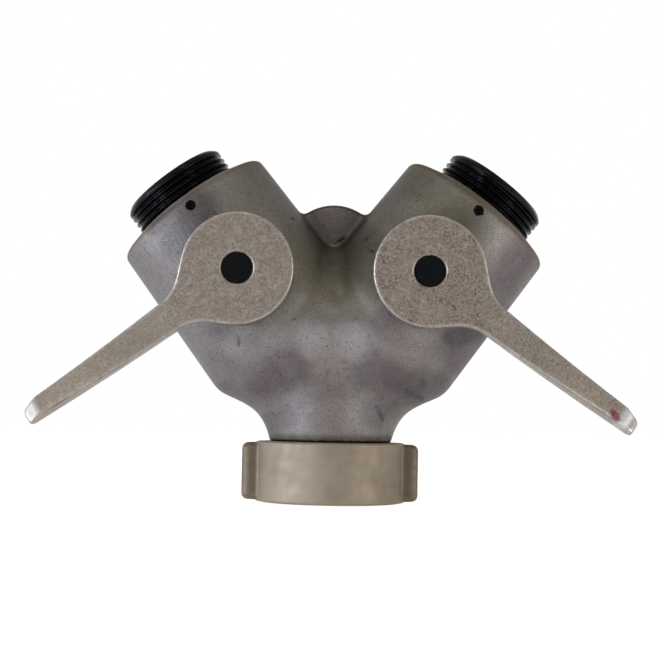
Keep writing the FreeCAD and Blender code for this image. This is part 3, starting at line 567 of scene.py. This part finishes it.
def lever_marks(side, upright):
    """Marks of one lever, from places along the arm and from where its normals point."""
    arm, run = lever_points[:, 0], lever_points[:, 1]
    facing = lever_normals[:, 2]
    _, user, half = flatten(lever_points)
    band_start, band_end = NOSE_BAND[side]
    nose = unit((arm - band_start) / 2.0) * unit(facing * 2.0 - 0.4)
    grip = unit((arm - GRIP_START) / GRIP_LENGTH)
    below = unit(0.5 - 1.5 * upright)
    slant = (arm - PAINT_ARM + 1j * (run - PAINT_RUN)) * np.exp(1j * PAINT_TURN)
    daub = np.hypot(slant.real / PAINT_LONG, slant.imag / PAINT_WIDE)
    # A dark line along the side walls of the arm, just below the front edge.
    dark_line = unit(1.0 - np.abs(half - DARK_LINE_DEPTH - user) / DARK_LINE_HALF)
    return {
        "nose": nose * np.clip((band_end - arm) / 2.0, 0.15, 1.0),
        "grip": grip,
        # Painted reflection on the side walls: cream on the arm, mauve on hub walls that face down at rest.
        "wall": unit(1.0 - np.abs(facing) * 1.6) * np.maximum(grip, below),
        "paint": unit(3.0 - 3.0 * daub) * (facing > 0.3) * (side == "right"),
        "handled": np.full(len(arm), HANDLED[side]),
        "dark_line": dark_line * (np.abs(facing) < 0.75) * (arm > DARK_LINE_START),
    }


levers = {}
for side, sign in SIDES.items():
    flip = np.array([sign, 1.0, 1.0])
    spots = from_valve(lever_points) * flip
    turned = (from_valve(lever_normals) - from_valve(np.zeros(3))) * flip
    faces = lever_faces if sign > 0 else lever_faces[:, ::-1]
    lever = mesh_piece(side + "_cast_lever", spots, faces, turned)
    paint_edges(lever, lever_field, lever_points, lever_normals, step=0.8)
    for name, values in lever_marks(side, turned[:, 2]).items():
        store(lever, name, values)
    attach(lever, side + "_valve")
    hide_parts(side + "_lever")
    levers[side] = lever

# %% [markdown]
# ## The inlet swivel
# The swivel is turned from bar, threaded inside for the supply hose, and left with two rocker lugs for a
# spanner. It spins freely on the tail of the casting. The thread is a ridge that climbs one pitch for each
# turn, so its height depends only on the height and angle of a point.

# %% Swivel field
PITCH = 25.4 / 9.0
COLLAR_RAD, COLLAR_TOP, COLLAR_SOFT = 33.2, 27.4, 1.4
LUG_OUT, LUG_HALF, LUG_IN, LUG_TOP, LUG_FOOT = 40.2, 7.0, 30.0, 26.7, 0.7
LUG_PLAN_SOFT, LUG_EDGE_SOFT, LUG_JOIN = 4.0, 3.3, 1.6
INLET_MINOR, INLET_GROOVE, INLET_DEPTH = 23.9, 1.6, 15.0
GASKET_RAD, GASKET_Z, GASKET_HALF = 26.4, 17.45, 2.45
RACE_RAD, RACE_HALF = 26.8, 1.2
BEARING_RAD, BEARING_FOOT = 25.35, 19.0
TURNED_SOFT = 0.4


def thread_ridge(turns):
    """Truncated sixty degree ridge, 0 at the root and 1 at the crest, for a phase in turns."""
    saw = np.abs(((turns + 0.5) % 1.0) - 0.5) * 2.0
    return unit((0.875 - saw) / 0.75)


def swivel_field(points):
    """Collar with two lugs, less its threaded mouth, gasket recess, ring race, bore and bearing bore."""
    x, y, z = np.moveaxis(points, -1, 0)
    rad = np.hypot(x, y)
    collar = soft_max(rad - COLLAR_RAD, np.maximum(z - COLLAR_TOP, -z), COLLAR_SOFT)
    plan = soft_max(np.abs(x) - LUG_OUT, np.abs(y) - LUG_HALF, LUG_PLAN_SOFT)
    lug = soft_max(plan, np.maximum(z - LUG_TOP, LUG_FOOT - z), LUG_EDGE_SOFT)
    body = soft_min(collar, np.maximum(lug, LUG_IN - np.abs(x)), LUG_JOIN)
    groove = INLET_GROOVE * (1.0 - thread_ridge(z / PITCH - np.arctan2(y, x) / (2.0 * math.pi)))
    hollow = np.minimum.reduce([
        np.maximum(rad - INLET_MINOR - groove, z - INLET_DEPTH),
        np.maximum(rad - GASKET_RAD, np.abs(z - GASKET_Z) - GASKET_HALF),
        np.maximum(rad - RACE_RAD, np.abs(z - RING_Z) - RACE_HALF),
        rad - INLET_MINOR,
        np.maximum(rad - BEARING_RAD, BEARING_FOOT - z),
    ])
    return soft_max(body, -hollow, TURNED_SOFT)


LUG_EDGE = 0.8
swivel_points, swivel_faces, swivel_normals = field_surface(
    swivel_field, low=(-41, -34, 0), high=(41, 34, COLLAR_TOP), cell=0.62)
swivel = mesh_piece("swivel_collar", swivel_points, swivel_faces, swivel_normals)
paint_edges(swivel, swivel_field, swivel_points, swivel_normals, step=0.8)
swivel_rad = np.hypot(swivel_points[:, 0], swivel_points[:, 1])
store(swivel, "lug", unit((swivel_rad - COLLAR_RAD) / LUG_EDGE))
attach(swivel, "swivel")
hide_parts("inlet_swivel")

# %% [markdown]
# ## The outlet adapters
# Each adapter is a nipple turned from bar, threaded for the hose and hard anodised black.
# Its surface is a profile turned about the outlet. Along the thread the radius follows the ridge,
# so going once round the adapter moves one pitch along it. Both outlets have right-hand threads.

# %% Threaded nipples
ADAPTER_IN, ADAPTER_LEDGE, ADAPTER_END = 14.6, 42.4, 55.69
CREST_RAD, ROOT_RAD = 25.27, 23.75
SHANK_RAD, SHANK_CHAMFER = 26.95, 0.3
SEAL_RAD, SEAL_FROM, SEAL_TO = 25.0, 24.0, 26.5
MOUTH_CHAMFER = 1.3
THREAD_STEP, THREAD_FADE, THREAD_STOP = 0.11, 0.5, 3.1
AROUND = 320
CREST_WORN = 0.2
SHARP_ANGLE = math.radians(40.0)


def adapter_profile():
    """Closed outline as radius and run: out along the outside, then back along the bore."""
    outside = [(POCKET_RAD, ADAPTER_IN), (SHANK_RAD, ADAPTER_IN), (SHANK_RAD, SEAL_FROM),
               (SEAL_RAD, SEAL_FROM), (SEAL_RAD, SEAL_TO), (SHANK_RAD, SEAL_TO),
               (SHANK_RAD, ADAPTER_LEDGE - SHANK_CHAMFER), (SHANK_RAD - SHANK_CHAMFER, ADAPTER_LEDGE),
               (ROOT_RAD, ADAPTER_LEDGE)]
    runs = np.arange(ADAPTER_LEDGE + 0.05, ADAPTER_END - 2.05, THREAD_STEP)
    threaded = [(CREST_RAD, run) for run in runs]
    inside = [(CREST_RAD, ADAPTER_END - 2.0), (CREST_RAD - 0.6, ADAPTER_END - 1.2),
              (CREST_RAD - 2.0, ADAPTER_END), (BORE_RAD + MOUTH_CHAMFER, ADAPTER_END),
              (BORE_RAD, ADAPTER_END - MOUTH_CHAMFER), (BORE_RAD, POCKET_RUN), (POCKET_RAD, POCKET_RUN)]
    return np.array(outside + threaded + inside)


def adapter_points(sign):
    """Profile turned about the outlet and cut by a helical groove that fades out, and its crests."""
    profile = adapter_profile()
    angle = np.arange(AROUND) / AROUND * 2.0 * math.pi
    rad = np.repeat(profile[:, :1], AROUND, axis=1)
    run = np.repeat(profile[:, 1:], AROUND, axis=1)
    cut = (CREST_RAD - ROOT_RAD) * (1.0 - thread_ridge(run / PITCH - sign * angle / (2.0 * math.pi)))
    fade = unit((ADAPTER_END - THREAD_STOP - run) / THREAD_FADE)
    threaded = (rad == CREST_RAD) & (run > ADAPTER_LEDGE)
    rad = np.where(threaded, rad - cut * fade, rad)
    across, depth = rad * np.cos(angle), rad * np.sin(angle)
    spots = from_valve(np.stack([across, run, depth], axis=-1)) * np.array([sign, 1.0, 1.0])
    return spots, unit((rad - CREST_RAD) / CREST_WORN + 1.0) * threaded


def wrapped_faces(rows, columns):
    """Quads of a grid that closes on itself both ways."""
    row, column = np.meshgrid(np.arange(rows), np.arange(columns), indexing="ij")
    ahead, right = (row + 1) % rows, (column + 1) % columns
    corners = [(row, column), (row, right), (ahead, right), (ahead, column)]
    return np.stack([r * columns + c for r, c in corners], axis=-1).reshape(-1, 4)


adapters = {}
for side, sign in SIDES.items():
    spots, crests = adapter_points(sign)
    faces = wrapped_faces(*spots.shape[:2])
    faces = faces if sign > 0 else faces[:, ::-1]
    nipple = mesh_piece(side + "_threaded_nipple", spots.reshape(-1, 3), faces)
    nipple.data.set_sharp_from_angle(angle=SHARP_ANGLE)
    store(nipple, "edge", crests.ravel())
    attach(nipple, "casting")
    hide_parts(side + "_outlet_adapter")
    adapters[side] = nipple

# %% [markdown]
# ## Colour and shader helpers
# Colours are picked as they look on a screen and turned into the linear values that light works with.
# One small function adds a shader node, sets it up and links it. A finish is then built like paint, coat
# over coat: each coat has a colour and shows where its marks and its grain are both high.

# %% Shader helpers
SHARE, FIRST, SECOND, MIXED = 0, 6, 7, 2


def linear(code):
    """Linear RGBA of an sRGB hex colour."""
    parts = np.array([int(code[i:i + 2], 16) for i in (1, 3, 5)]) / 255.0
    low = parts / 12.92
    high = ((parts + 0.055) / 1.055) ** 2.4
    return (*np.where(parts <= 0.04045, low, high).tolist(), 1.0)


def plug(tree, node, inputs):
    """Set a node's inputs to values, or link the sockets that are given for them."""
    for name, value in inputs.items():
        if isinstance(value, bpy.types.NodeSocket):
            tree.links.new(value, node.inputs[name])
        else:
            node.inputs[name].default_value = value


def add(tree, kind, inputs=None, **settings):
    """Add a shader node with its settings; inputs hold values or the sockets to link."""
    made = tree.nodes.new("ShaderNode" + kind)
    for name, value in settings.items():
        setattr(made, name, value)
    plug(tree, made, inputs or {})
    return made


def grain(tree, place, size, low, high, detail=3.0):
    """Noise with grains of a size in millimetres, stretched so that low reads 0 and high reads 1."""
    noise = add(tree, "TexNoise", {"Vector": place, "Scale": 1.0 / (size * MM), "Detail": detail})
    stretch = {"Value": noise.outputs["Fac"], "From Min": low, "From Max": high}
    return add(tree, "MapRange", stretch).outputs["Result"]


def coat(tree, under, over, *shares):
    """One colour over another: the shares multiply to how much of the upper one shows."""
    share = shares[0]
    for other in shares[1:]:
        share = add(tree, "Math", {0: share, 1: other}, operation="MULTIPLY").outputs[0]
    colours = {SHARE: share, FIRST: under, SECOND: over}
    return add(tree, "Mix", colours, data_type="RGBA").outputs[MIXED]


def new_finish(name, marks=()):
    """Material of a piece, its tree and shader, the place on the piece and the marks stored there."""
    material = bpy.data.materials.new(name)
    material.use_nodes = True
    tree = material.node_tree
    place = add(tree, "TexCoord").outputs["Object"]
    stored = {mark: add(tree, "Attribute", attribute_name=mark).outputs["Fac"] for mark in marks}
    return material, tree, tree.nodes["Principled BSDF"], place, stored


print("mid grey on the screen is linear", round(linear("#808080")[0], 3))

# %% [markdown]
# ## The body's finish
# The casting is blasted with grit and hard anodised. The oxide takes the silver out of the metal and leaves
# a dull grey with large violet clouds. High between the barrels painted shade turns it olive and darker,
# and darker still in the corners. Use has added dark stains and warm patches; pale patches are painted
# highlights, and the feet, the right flank and some streaks are painted shade, each broken up by grain.
# Edges are rubbed a little paler, creases are painted dark as shade, and tan dust sits round the mouths.

# %% Blasted casting, tone
PATCH_SIZE = 6.0
# Patches: stains partly painted shade, pale ones painted highlights, warm tints, and streaks of painted
# shade.
PATCHES = (("stain_and_shade", "#74696a", -0.3, 0.6), ("pale", "#a59e9f", 0.0, 0.9),
           ("warm", "#92847d", -0.3, 0.6), ("painted_shade", "#645f4f", 0.1, 0.7))
BODY_MARKS = ("edge", "crease_shade", "rim", "olive_shade", "corner_shade", *STROKES)
body_finish, tree, shader, place, marks = new_finish("blasted and hard anodised cast aluminium", BODY_MARKS)
# Painted shade: olive and darker high between the barrels.
tone = coat(tree, linear("#8f8985"), linear("#817a66"), marks["olive_shade"])
for name, code, low, high in PATCHES:
    tone = coat(tree, tone, linear(code), marks[name], grain(tree, place, PATCH_SIZE, low, high))
tone = coat(tree, tone, linear("#7c7170"), grain(tree, place, 24.0, 0.48, 0.8))
tone = coat(tree, tone, linear("#5d5553"), grain(tree, place, 2.6, 0.55, 1.05, 5.0))
# Painted shade in the corners between the barrels, then darker painted shade in the creases.
tone = coat(tree, tone, linear("#645d4f"), marks["corner_shade"])
tone = coat(tree, tone, linear("#38332b"), marks["crease_shade"])
# Real grit is finer. It is drawn at 0.6 mm so that it shows.
grit = grain(tree, place, 0.6, 0.3, 0.7, 2.0)
grey = add(tree, "CombineXYZ", {0: grit, 1: grit, 2: grit}).outputs[0]
overlay = {SHARE: 0.22, FIRST: tone, SECOND: grey}
tone = add(tree, "Mix", overlay, data_type="RGBA", blend_type="OVERLAY").outputs[MIXED]
tone = coat(tree, tone, linear("#94908d"), marks["edge"], grain(tree, place, 1.6, 0.5, 1.3))
tone = coat(tree, tone, linear("#8a7a66"), marks["rim"], grain(tree, place, 0.8, 0.44, 0.58, 2.0))
tone = coat(tree, tone, linear("#575051"), marks["scar"], grain(tree, place, 1.4, -0.4, 0.7))
print(body_finish.name, "nodes so far", len(tree.nodes))

# %% [markdown]
# ## Pits in the body
# Sand and gas trapped in the metal leave black pits, in some areas more than in others.
# Each cell of a cell pattern holds one pit at its middle. A random colour of the cell gives its size,
# and slow noise says how large the pits of an area may be. Pits and cracks also dent the surface.

# %% Blasted casting, pits and gloss
PIT_SPACING, PIT_AREA = 1.4, 16.0
RIM_DULLER = 0.25
cells = add(tree, "TexVoronoi", {"Vector": place, "Scale": 1.0 / (PIT_SPACING * MM)})
largest = {"Value": grain(tree, place, PIT_AREA, 0.3, 0.7), "To Min": 0.1, "To Max": 0.24}
largest = add(tree, "MapRange", largest).outputs["Result"]
size = {"Value": cells.outputs["Color"], "From Min": 0.3, "From Max": 0.8, "To Min": 0.0, "To Max": largest}
size = add(tree, "MapRange", size).outputs["Result"]
depth = add(tree, "Math", {0: size, 1: cells.outputs["Distance"]}, operation="SUBTRACT").outputs[0]
pit = add(tree, "MapRange", {"Value": depth, "From Min": -0.02, "From Max": 0.03}).outputs["Result"]
hole = add(tree, "Math", {0: pit, 1: marks["crack"]}, operation="MAXIMUM").outputs[0]
height = add(tree, "Math", {0: grit, 1: hole}, operation="SUBTRACT").outputs[0]
sheen = {"Value": grain(tree, place, 8.0, 0.3, 0.7), "To Min": 0.44, "To Max": 0.56}
sheen = add(tree, "MapRange", sheen).outputs["Result"]
bump = add(tree, "Bump", {"Height": height, "Strength": 0.35, "Distance": 0.12 * MM})
dull = add(tree, "Math", {0: marks["rim"], 1: RIM_DULLER, 2: sheen}, operation="MULTIPLY_ADD")
plug(tree, shader, {"Base Color": coat(tree, tone, linear("#211d1c"), hole), "Roughness": dull.outputs[0],
                    "Normal": bump.outputs["Normal"], "Metallic": 0.85})
casting.data.materials.append(body_finish)
print(body_finish.name, "nodes", len(tree.nodes))

# %% [markdown]
# ## The levers' finish
# The levers are left bare. Tumbling in stone chips gives a pale warm grey with a low shine, full of small
# dents, and hand grease has stained it in clouds of dark specks. The arms are paler, and a dark line runs
# along their side walls. The walls carry a painted reflection, cream on the arms and mauve on the hubs'
# lower walls. The rims are polished by gloves, and the noses most of all.

# %% Tumbled levers
GRIP_PALER, WALL_REFLECTION = 0.12, 0.85
LEVER_MARKS = ("edge", "nose", "grip", "wall", "paint", "handled", "dark_line")
lever_finish, tree, shader, place, marks = new_finish("tumbled cast aluminium", LEVER_MARKS)
tone = coat(tree, linear("#b4a697"), linear("#a49486"), grain(tree, place, 4.5, 0.42, 0.66, 5.0))
dents = grain(tree, place, 0.9, 0.35, 0.7, 4.0)
tone = coat(tree, linear("#8b7d6f"), tone, dents)
tone = coat(tree, tone, linear("#4a3f33"), grain(tree, place, 0.8, 0.5, 0.64),
            grain(tree, place, 6.0, 0.3, 0.6), marks["handled"])
tone = coat(tree, tone, linear("#d8cabb"), marks["grip"], GRIP_PALER)
# Painted reflection on the side walls: mauve on the hub walls that face down, cream on the arms.
wall = coat(tree, linear("#a4888a"), linear("#e2d9cd"), marks["grip"])
tone = coat(tree, tone, wall, marks["wall"], WALL_REFLECTION)
tone = coat(tree, tone, linear("#5d4d4c"), marks["dark_line"], grain(tree, place, 5.0, 0.3, 0.6))
rubbing = {0: marks["edge"], 1: grain(tree, place, 2.5, 0.25, 0.8)}
rubbed = add(tree, "Math", rubbing, operation="MULTIPLY").outputs[0]
tone = coat(tree, tone, linear("#dcd8d2"), rubbed)
nose = coat(tree, linear("#a09078"), linear("#faf9f5"), marks["handled"])
tone = coat(tree, tone, nose, marks["nose"])
tone = coat(tree, tone, linear("#8a4452"), marks["paint"], grain(tree, place, 1.6, 0.2, 0.5))
dull = add(tree, "MapRange", {"Value": rubbed, "To Min": 0.5, "To Max": 0.32}).outputs["Result"]
bump = add(tree, "Bump", {"Height": dents, "Strength": 0.3, "Distance": 0.1 * MM}).outputs["Normal"]
plug(tree, shader, {"Base Color": tone, "Roughness": dull, "Normal": bump, "Metallic": 0.8})
for lever in levers.values():
    lever.data.materials.append(lever_finish)
print(lever_finish.name, "nodes", len(tree.nodes))

# %% [markdown]
# ## The swivel's finish
# The collar is turned on a lathe and hard anodised, which colours this alloy tan. The tool leaves rings
# too fine to see singly, which draw the light into a soft band. They are drawn at 0.3 mm to show at all.

# %% Tan anodised collar
RING_LENGTH, RING_PITCH = 40.0, 0.3
collar_finish, tree, shader, place, marks = new_finish("turned and tan anodised aluminium", ("edge", "lug"))
ring_scale = [1.0 / (size * MM) for size in (RING_LENGTH, RING_LENGTH, RING_PITCH)]
rings = add(tree, "Mapping", {"Vector": place, "Scale": ring_scale}).outputs["Vector"]
turned = add(tree, "TexNoise", {"Vector": rings, "Scale": 1.0, "Detail": 2.0}).outputs["Fac"]
tone = coat(tree, linear("#9c8c7a"), linear("#a69784"), turned)
tone = coat(tree, tone, linear("#7b6e5a"), grain(tree, place, 20.0, 0.45, 1.1))
tone = coat(tree, tone, linear("#7d6d5b"), marks["lug"])
tone = coat(tree, tone, linear("#a3947f"), marks["edge"], grain(tree, place, 3.0, 0.3, 0.9))
dull = {"Value": grain(tree, place, 5.0, 0.3, 0.7), "To Min": 0.6, "To Max": 0.7}
dull = add(tree, "MapRange", dull).outputs["Result"]
bump = add(tree, "Bump", {"Height": turned, "Strength": 0.12, "Distance": 0.05 * MM}).outputs["Normal"]
plug(tree, shader, {"Base Color": tone, "Roughness": dull, "Normal": bump, "Metallic": 0.7})
swivel.data.materials.append(collar_finish)
print(collar_finish.name, "nodes", len(tree.nodes))

# %% [markdown]
# ## The adapters' finish
# The nipples are hard anodised black, which is a dyed glassy skin: dark, with a sharp shine.
# Couplings have rubbed the crests of the thread to a dull grey.

# %% Black anodised thread
thread_finish, tree, shader, place, marks = new_finish("black hard anodised aluminium", ("edge",))
smear = grain(tree, place, 6.0, 0.4, 0.8)
tone = coat(tree, linear("#050506"), linear("#0d0d0e"), smear)
tone = coat(tree, tone, linear("#1f1e20"), marks["edge"], grain(tree, place, 8.0, 0.35, 0.75))
dull = add(tree, "MapRange", {"Value": smear, "To Min": 0.12, "To Max": 0.24}).outputs["Result"]
plug(tree, shader, {"Base Color": tone, "Roughness": dull, "Specular IOR Level": 0.16})
for nipple in adapters.values():
    nipple.data.materials.append(thread_finish)
print(thread_finish.name, "nodes", len(tree.nodes))

# %% [markdown]
# ## The small pieces' finishes
# Plugs and screws are dark, the balls are polished stainless steel, the other steel is as it left the
# lathe, the seats are white fluoroplastic and the rings are black rubber.
# These differ only in a few colours and sizes of grain, so one recipe serves them all.

# %% Small pieces
# Each row: the pieces, pale and dark tone, grain in millimetres, metallic, roughness and specular level.
SMALL_FINISHES = {
    "black moulded plastic": (("lever_plug",), "#0c0c0c", "#121212", 0.8, 0.0, 0.6, 0.06),
    "black oxide steel": (("set_screw",), "#0d0c0c", "#1b1918", 0.6, 0.0, 0.4, 0.3),
    "polished stainless steel": (("ball",), "#cfcdc9", "#bab7b2", 3.0, 1.0, 0.14, 0.5),
    "turned steel": (("stem", "stop_pin", "lever_screw", "retaining_ring"),
                     "#b0aeaa", "#93908b", 0.7, 1.0, 0.34, 0.5),
    "turned fluoroplastic": (("inner_seat", "outer_seat", "thrust_washer"),
                             "#e8e5dc", "#d9d5c9", 1.6, 0.0, 0.42, 0.5),
    "moulded black rubber": (("adapter_ring", "stem_rings", "inlet_gasket"),
                             "#161515", "#211f1e", 1.0, 0.0, 0.7, 0.3),
}


def small_finish(name, pale, dark, size, metallic, roughness, specular):
    """Material whose tone, gloss and relief follow one grain of a size in millimetres."""
    material, tree, shader, place, _ = new_finish(name)
    fleck = grain(tree, place, size, 0.3, 0.7, 4.0)
    tone = coat(tree, linear(pale), linear(dark), fleck)
    dull = {"Value": fleck, "To Min": roughness * 0.85, "To Max": roughness * 1.15}
    dull = add(tree, "MapRange", dull).outputs["Result"]
    bump = add(tree, "Bump", {"Height": fleck, "Strength": 0.1, "Distance": 0.04 * MM}).outputs["Normal"]
    plug(tree, shader, {"Base Color": tone, "Roughness": dull, "Normal": bump, "Metallic": metallic,
                        "Specular IOR Level": specular})
    return material


for finish, (kinds, *recipe) in SMALL_FINISHES.items():
    material = small_finish(finish, *recipe)
    wearers = [name for name in nodes if name.removeprefix("left_").removeprefix("right_") in kinds]
    for name in wearers:
        nodes[name].data.materials[0] = material
    print(finish, wearers)

# %% [markdown]
# ## Camera
# The photograph is a catalogue picture: the valve stands upright before a white ground.
# The camera is far away with a long lens, so the perspective is slight, and it is held a little askew.

# %% Camera
CAMERA_X, CAMERA_FAR, CAMERA_Z, AIM_Z = -0.0006, 0.700, 0.040, 0.079
CAMERA_ROLL = math.radians(-1.05)
lens = bpy.data.cameras.new("camera")
lens.lens = 83.1
lens.sensor_width = 36.0
camera = new_object("camera", lens)
camera.location = (CAMERA_X, -CAMERA_FAR, CAMERA_Z)
camera_tilt = math.atan2(AIM_Z - CAMERA_Z, CAMERA_FAR)
camera.rotation_euler = (math.pi / 2.0 + camera_tilt, CAMERA_ROLL, 0.0)
bpy.context.scene.camera = camera
print("camera looks up by, degrees:", round(math.degrees(camera_tilt), 2))

# %% [markdown]
# ## Lamps
# Two low soft boxes stand at the sides, the left one brighter, so that round shapes have light flanks and
# a darker middle. A weak one above lifts the upper faces. The side boxes are bluish and keep the grey cool.

# %% Lamps
LAMP_AIM = (0.0, 0.0, 0.09)
# Each soft box: place in metres, width, height, power in watts and colour.
LAMPS = {
    "left soft box": ((-1.10, -0.62, 0.17), 0.8, 0.34, 13.0, "#dcebff"),
    "right soft box": ((1.10, -0.70, 0.17), 0.5, 0.34, 4.6, "#f4faff"),
    "upper soft box": ((-0.05, -0.75, 1.15), 0.4, 0.4, 2.5, "#ffffff"),
}
for name, (spot, wide, high, power, code) in LAMPS.items():
    light = bpy.data.lights.new(name, "AREA")
    light.shape = "RECTANGLE"
    light.size = wide
    light.size_y = high
    light.energy = power
    light.color = linear(code)[:3]
    box = new_object(name, light)
    box.location = spot
    toward = np.array(LAMP_AIM) - np.array(spot)
    tilt = math.atan2(math.hypot(toward[0], toward[1]), -toward[2])
    box.rotation_euler = (tilt, 0.0, math.atan2(toward[1], toward[0]) - math.pi / 2.0)
    print(name, "watts", power)

# %% [markdown]
# ## Room
# The camera sees the room pure white. Its light is weaker overhead and on the camera's side, so the front
# of the metal mirrors a dim room, and plain surfaces get half of what mirrors do.

# %% Room
WHITE = linear("#ffffff")


def ray_kinds(tree):
    """1 for rays the camera sends, and 1 for rays that a mirror or glass sends on."""
    rays = add(tree, "LightPath").outputs
    either = {0: rays["Is Glossy Ray"], 1: rays["Is Transmission Ray"]}
    return rays["Is Camera Ray"], add(tree, "Math", either, operation="MAXIMUM").outputs[0]


world = bpy.data.worlds.new("studio")
bpy.context.scene.world = world
world.use_nodes = True
tree = world.node_tree
compass = add(tree, "SeparateXYZ", {"Vector": add(tree, "TexCoord").outputs["Generated"]}).outputs
overhead = {"Value": compass["Z"], "From Min": 0.0, "From Max": 0.8, "To Min": 1.0, "To Max": 0.3}
ahead = {"Value": compass["Y"], "From Min": -1.0, "From Max": -0.2, "To Min": 0.3, "To Max": 0.9}
seen, mirrored = ray_kinds(tree)
level = {"Value": mirrored, "To Min": 0.5, "To Max": 1.0}
overhead, ahead, level = [add(tree, "MapRange", span).outputs["Result"] for span in (overhead, ahead, level)]
soft = add(tree, "Math", {0: overhead, 1: ahead}, operation="MULTIPLY").outputs[0]
lit = add(tree, "Math", {0: soft, 1: level}, operation="MULTIPLY").outputs[0]
strength = add(tree, "Math", {0: seen, 1: lit}, operation="MAXIMUM").outputs[0]
plug(tree, tree.nodes["Background"], {"Color": WHITE, "Strength": strength})
bpy.context.scene.view_settings.view_transform = "Standard"
print("room nodes", len(tree.nodes))

# %% [markdown]
# ## Floor
# The floor is a sweep of pale paper. It is lit up for the camera, so that it meets the white ground without
# a line, and less so in the metal's reflections.

# %% Floor
FLOOR_HALF, FLOOR_Z = 3.0, -0.0005
FLOOR_SEEN, FLOOR_MIRRORED = 0.85, 0.45
corners = [(x * FLOOR_HALF, y * FLOOR_HALF, FLOOR_Z) for x, y in ((-1, -1), (1, -1), (1, 1), (-1, 1))]
floor_mesh = bpy.data.meshes.new("floor")
floor_mesh.from_pydata(corners, [], [(0, 1, 2, 3)])
floor = new_object("floor", floor_mesh)
paper = bpy.data.materials.new("white paper sweep")
paper.use_nodes = True
tree = paper.node_tree
seen, mirrored = ray_kinds(tree)
bright = add(tree, "Math", {0: seen, 1: FLOOR_SEEN}, operation="MULTIPLY").outputs[0]
dim = add(tree, "Math", {0: mirrored, 1: FLOOR_MIRRORED}, operation="MULTIPLY").outputs[0]
glow = add(tree, "Math", {0: bright, 1: dim}, operation="MAXIMUM").outputs[0]
plug(tree, tree.nodes["Principled BSDF"], {"Base Color": linear("#f4f4f4"), "Roughness": 0.9,
                                           "Emission Color": WHITE, "Emission Strength": glow})
floor.data.materials.append(paper)
print("floor, metres:", 2.0 * FLOOR_HALF)
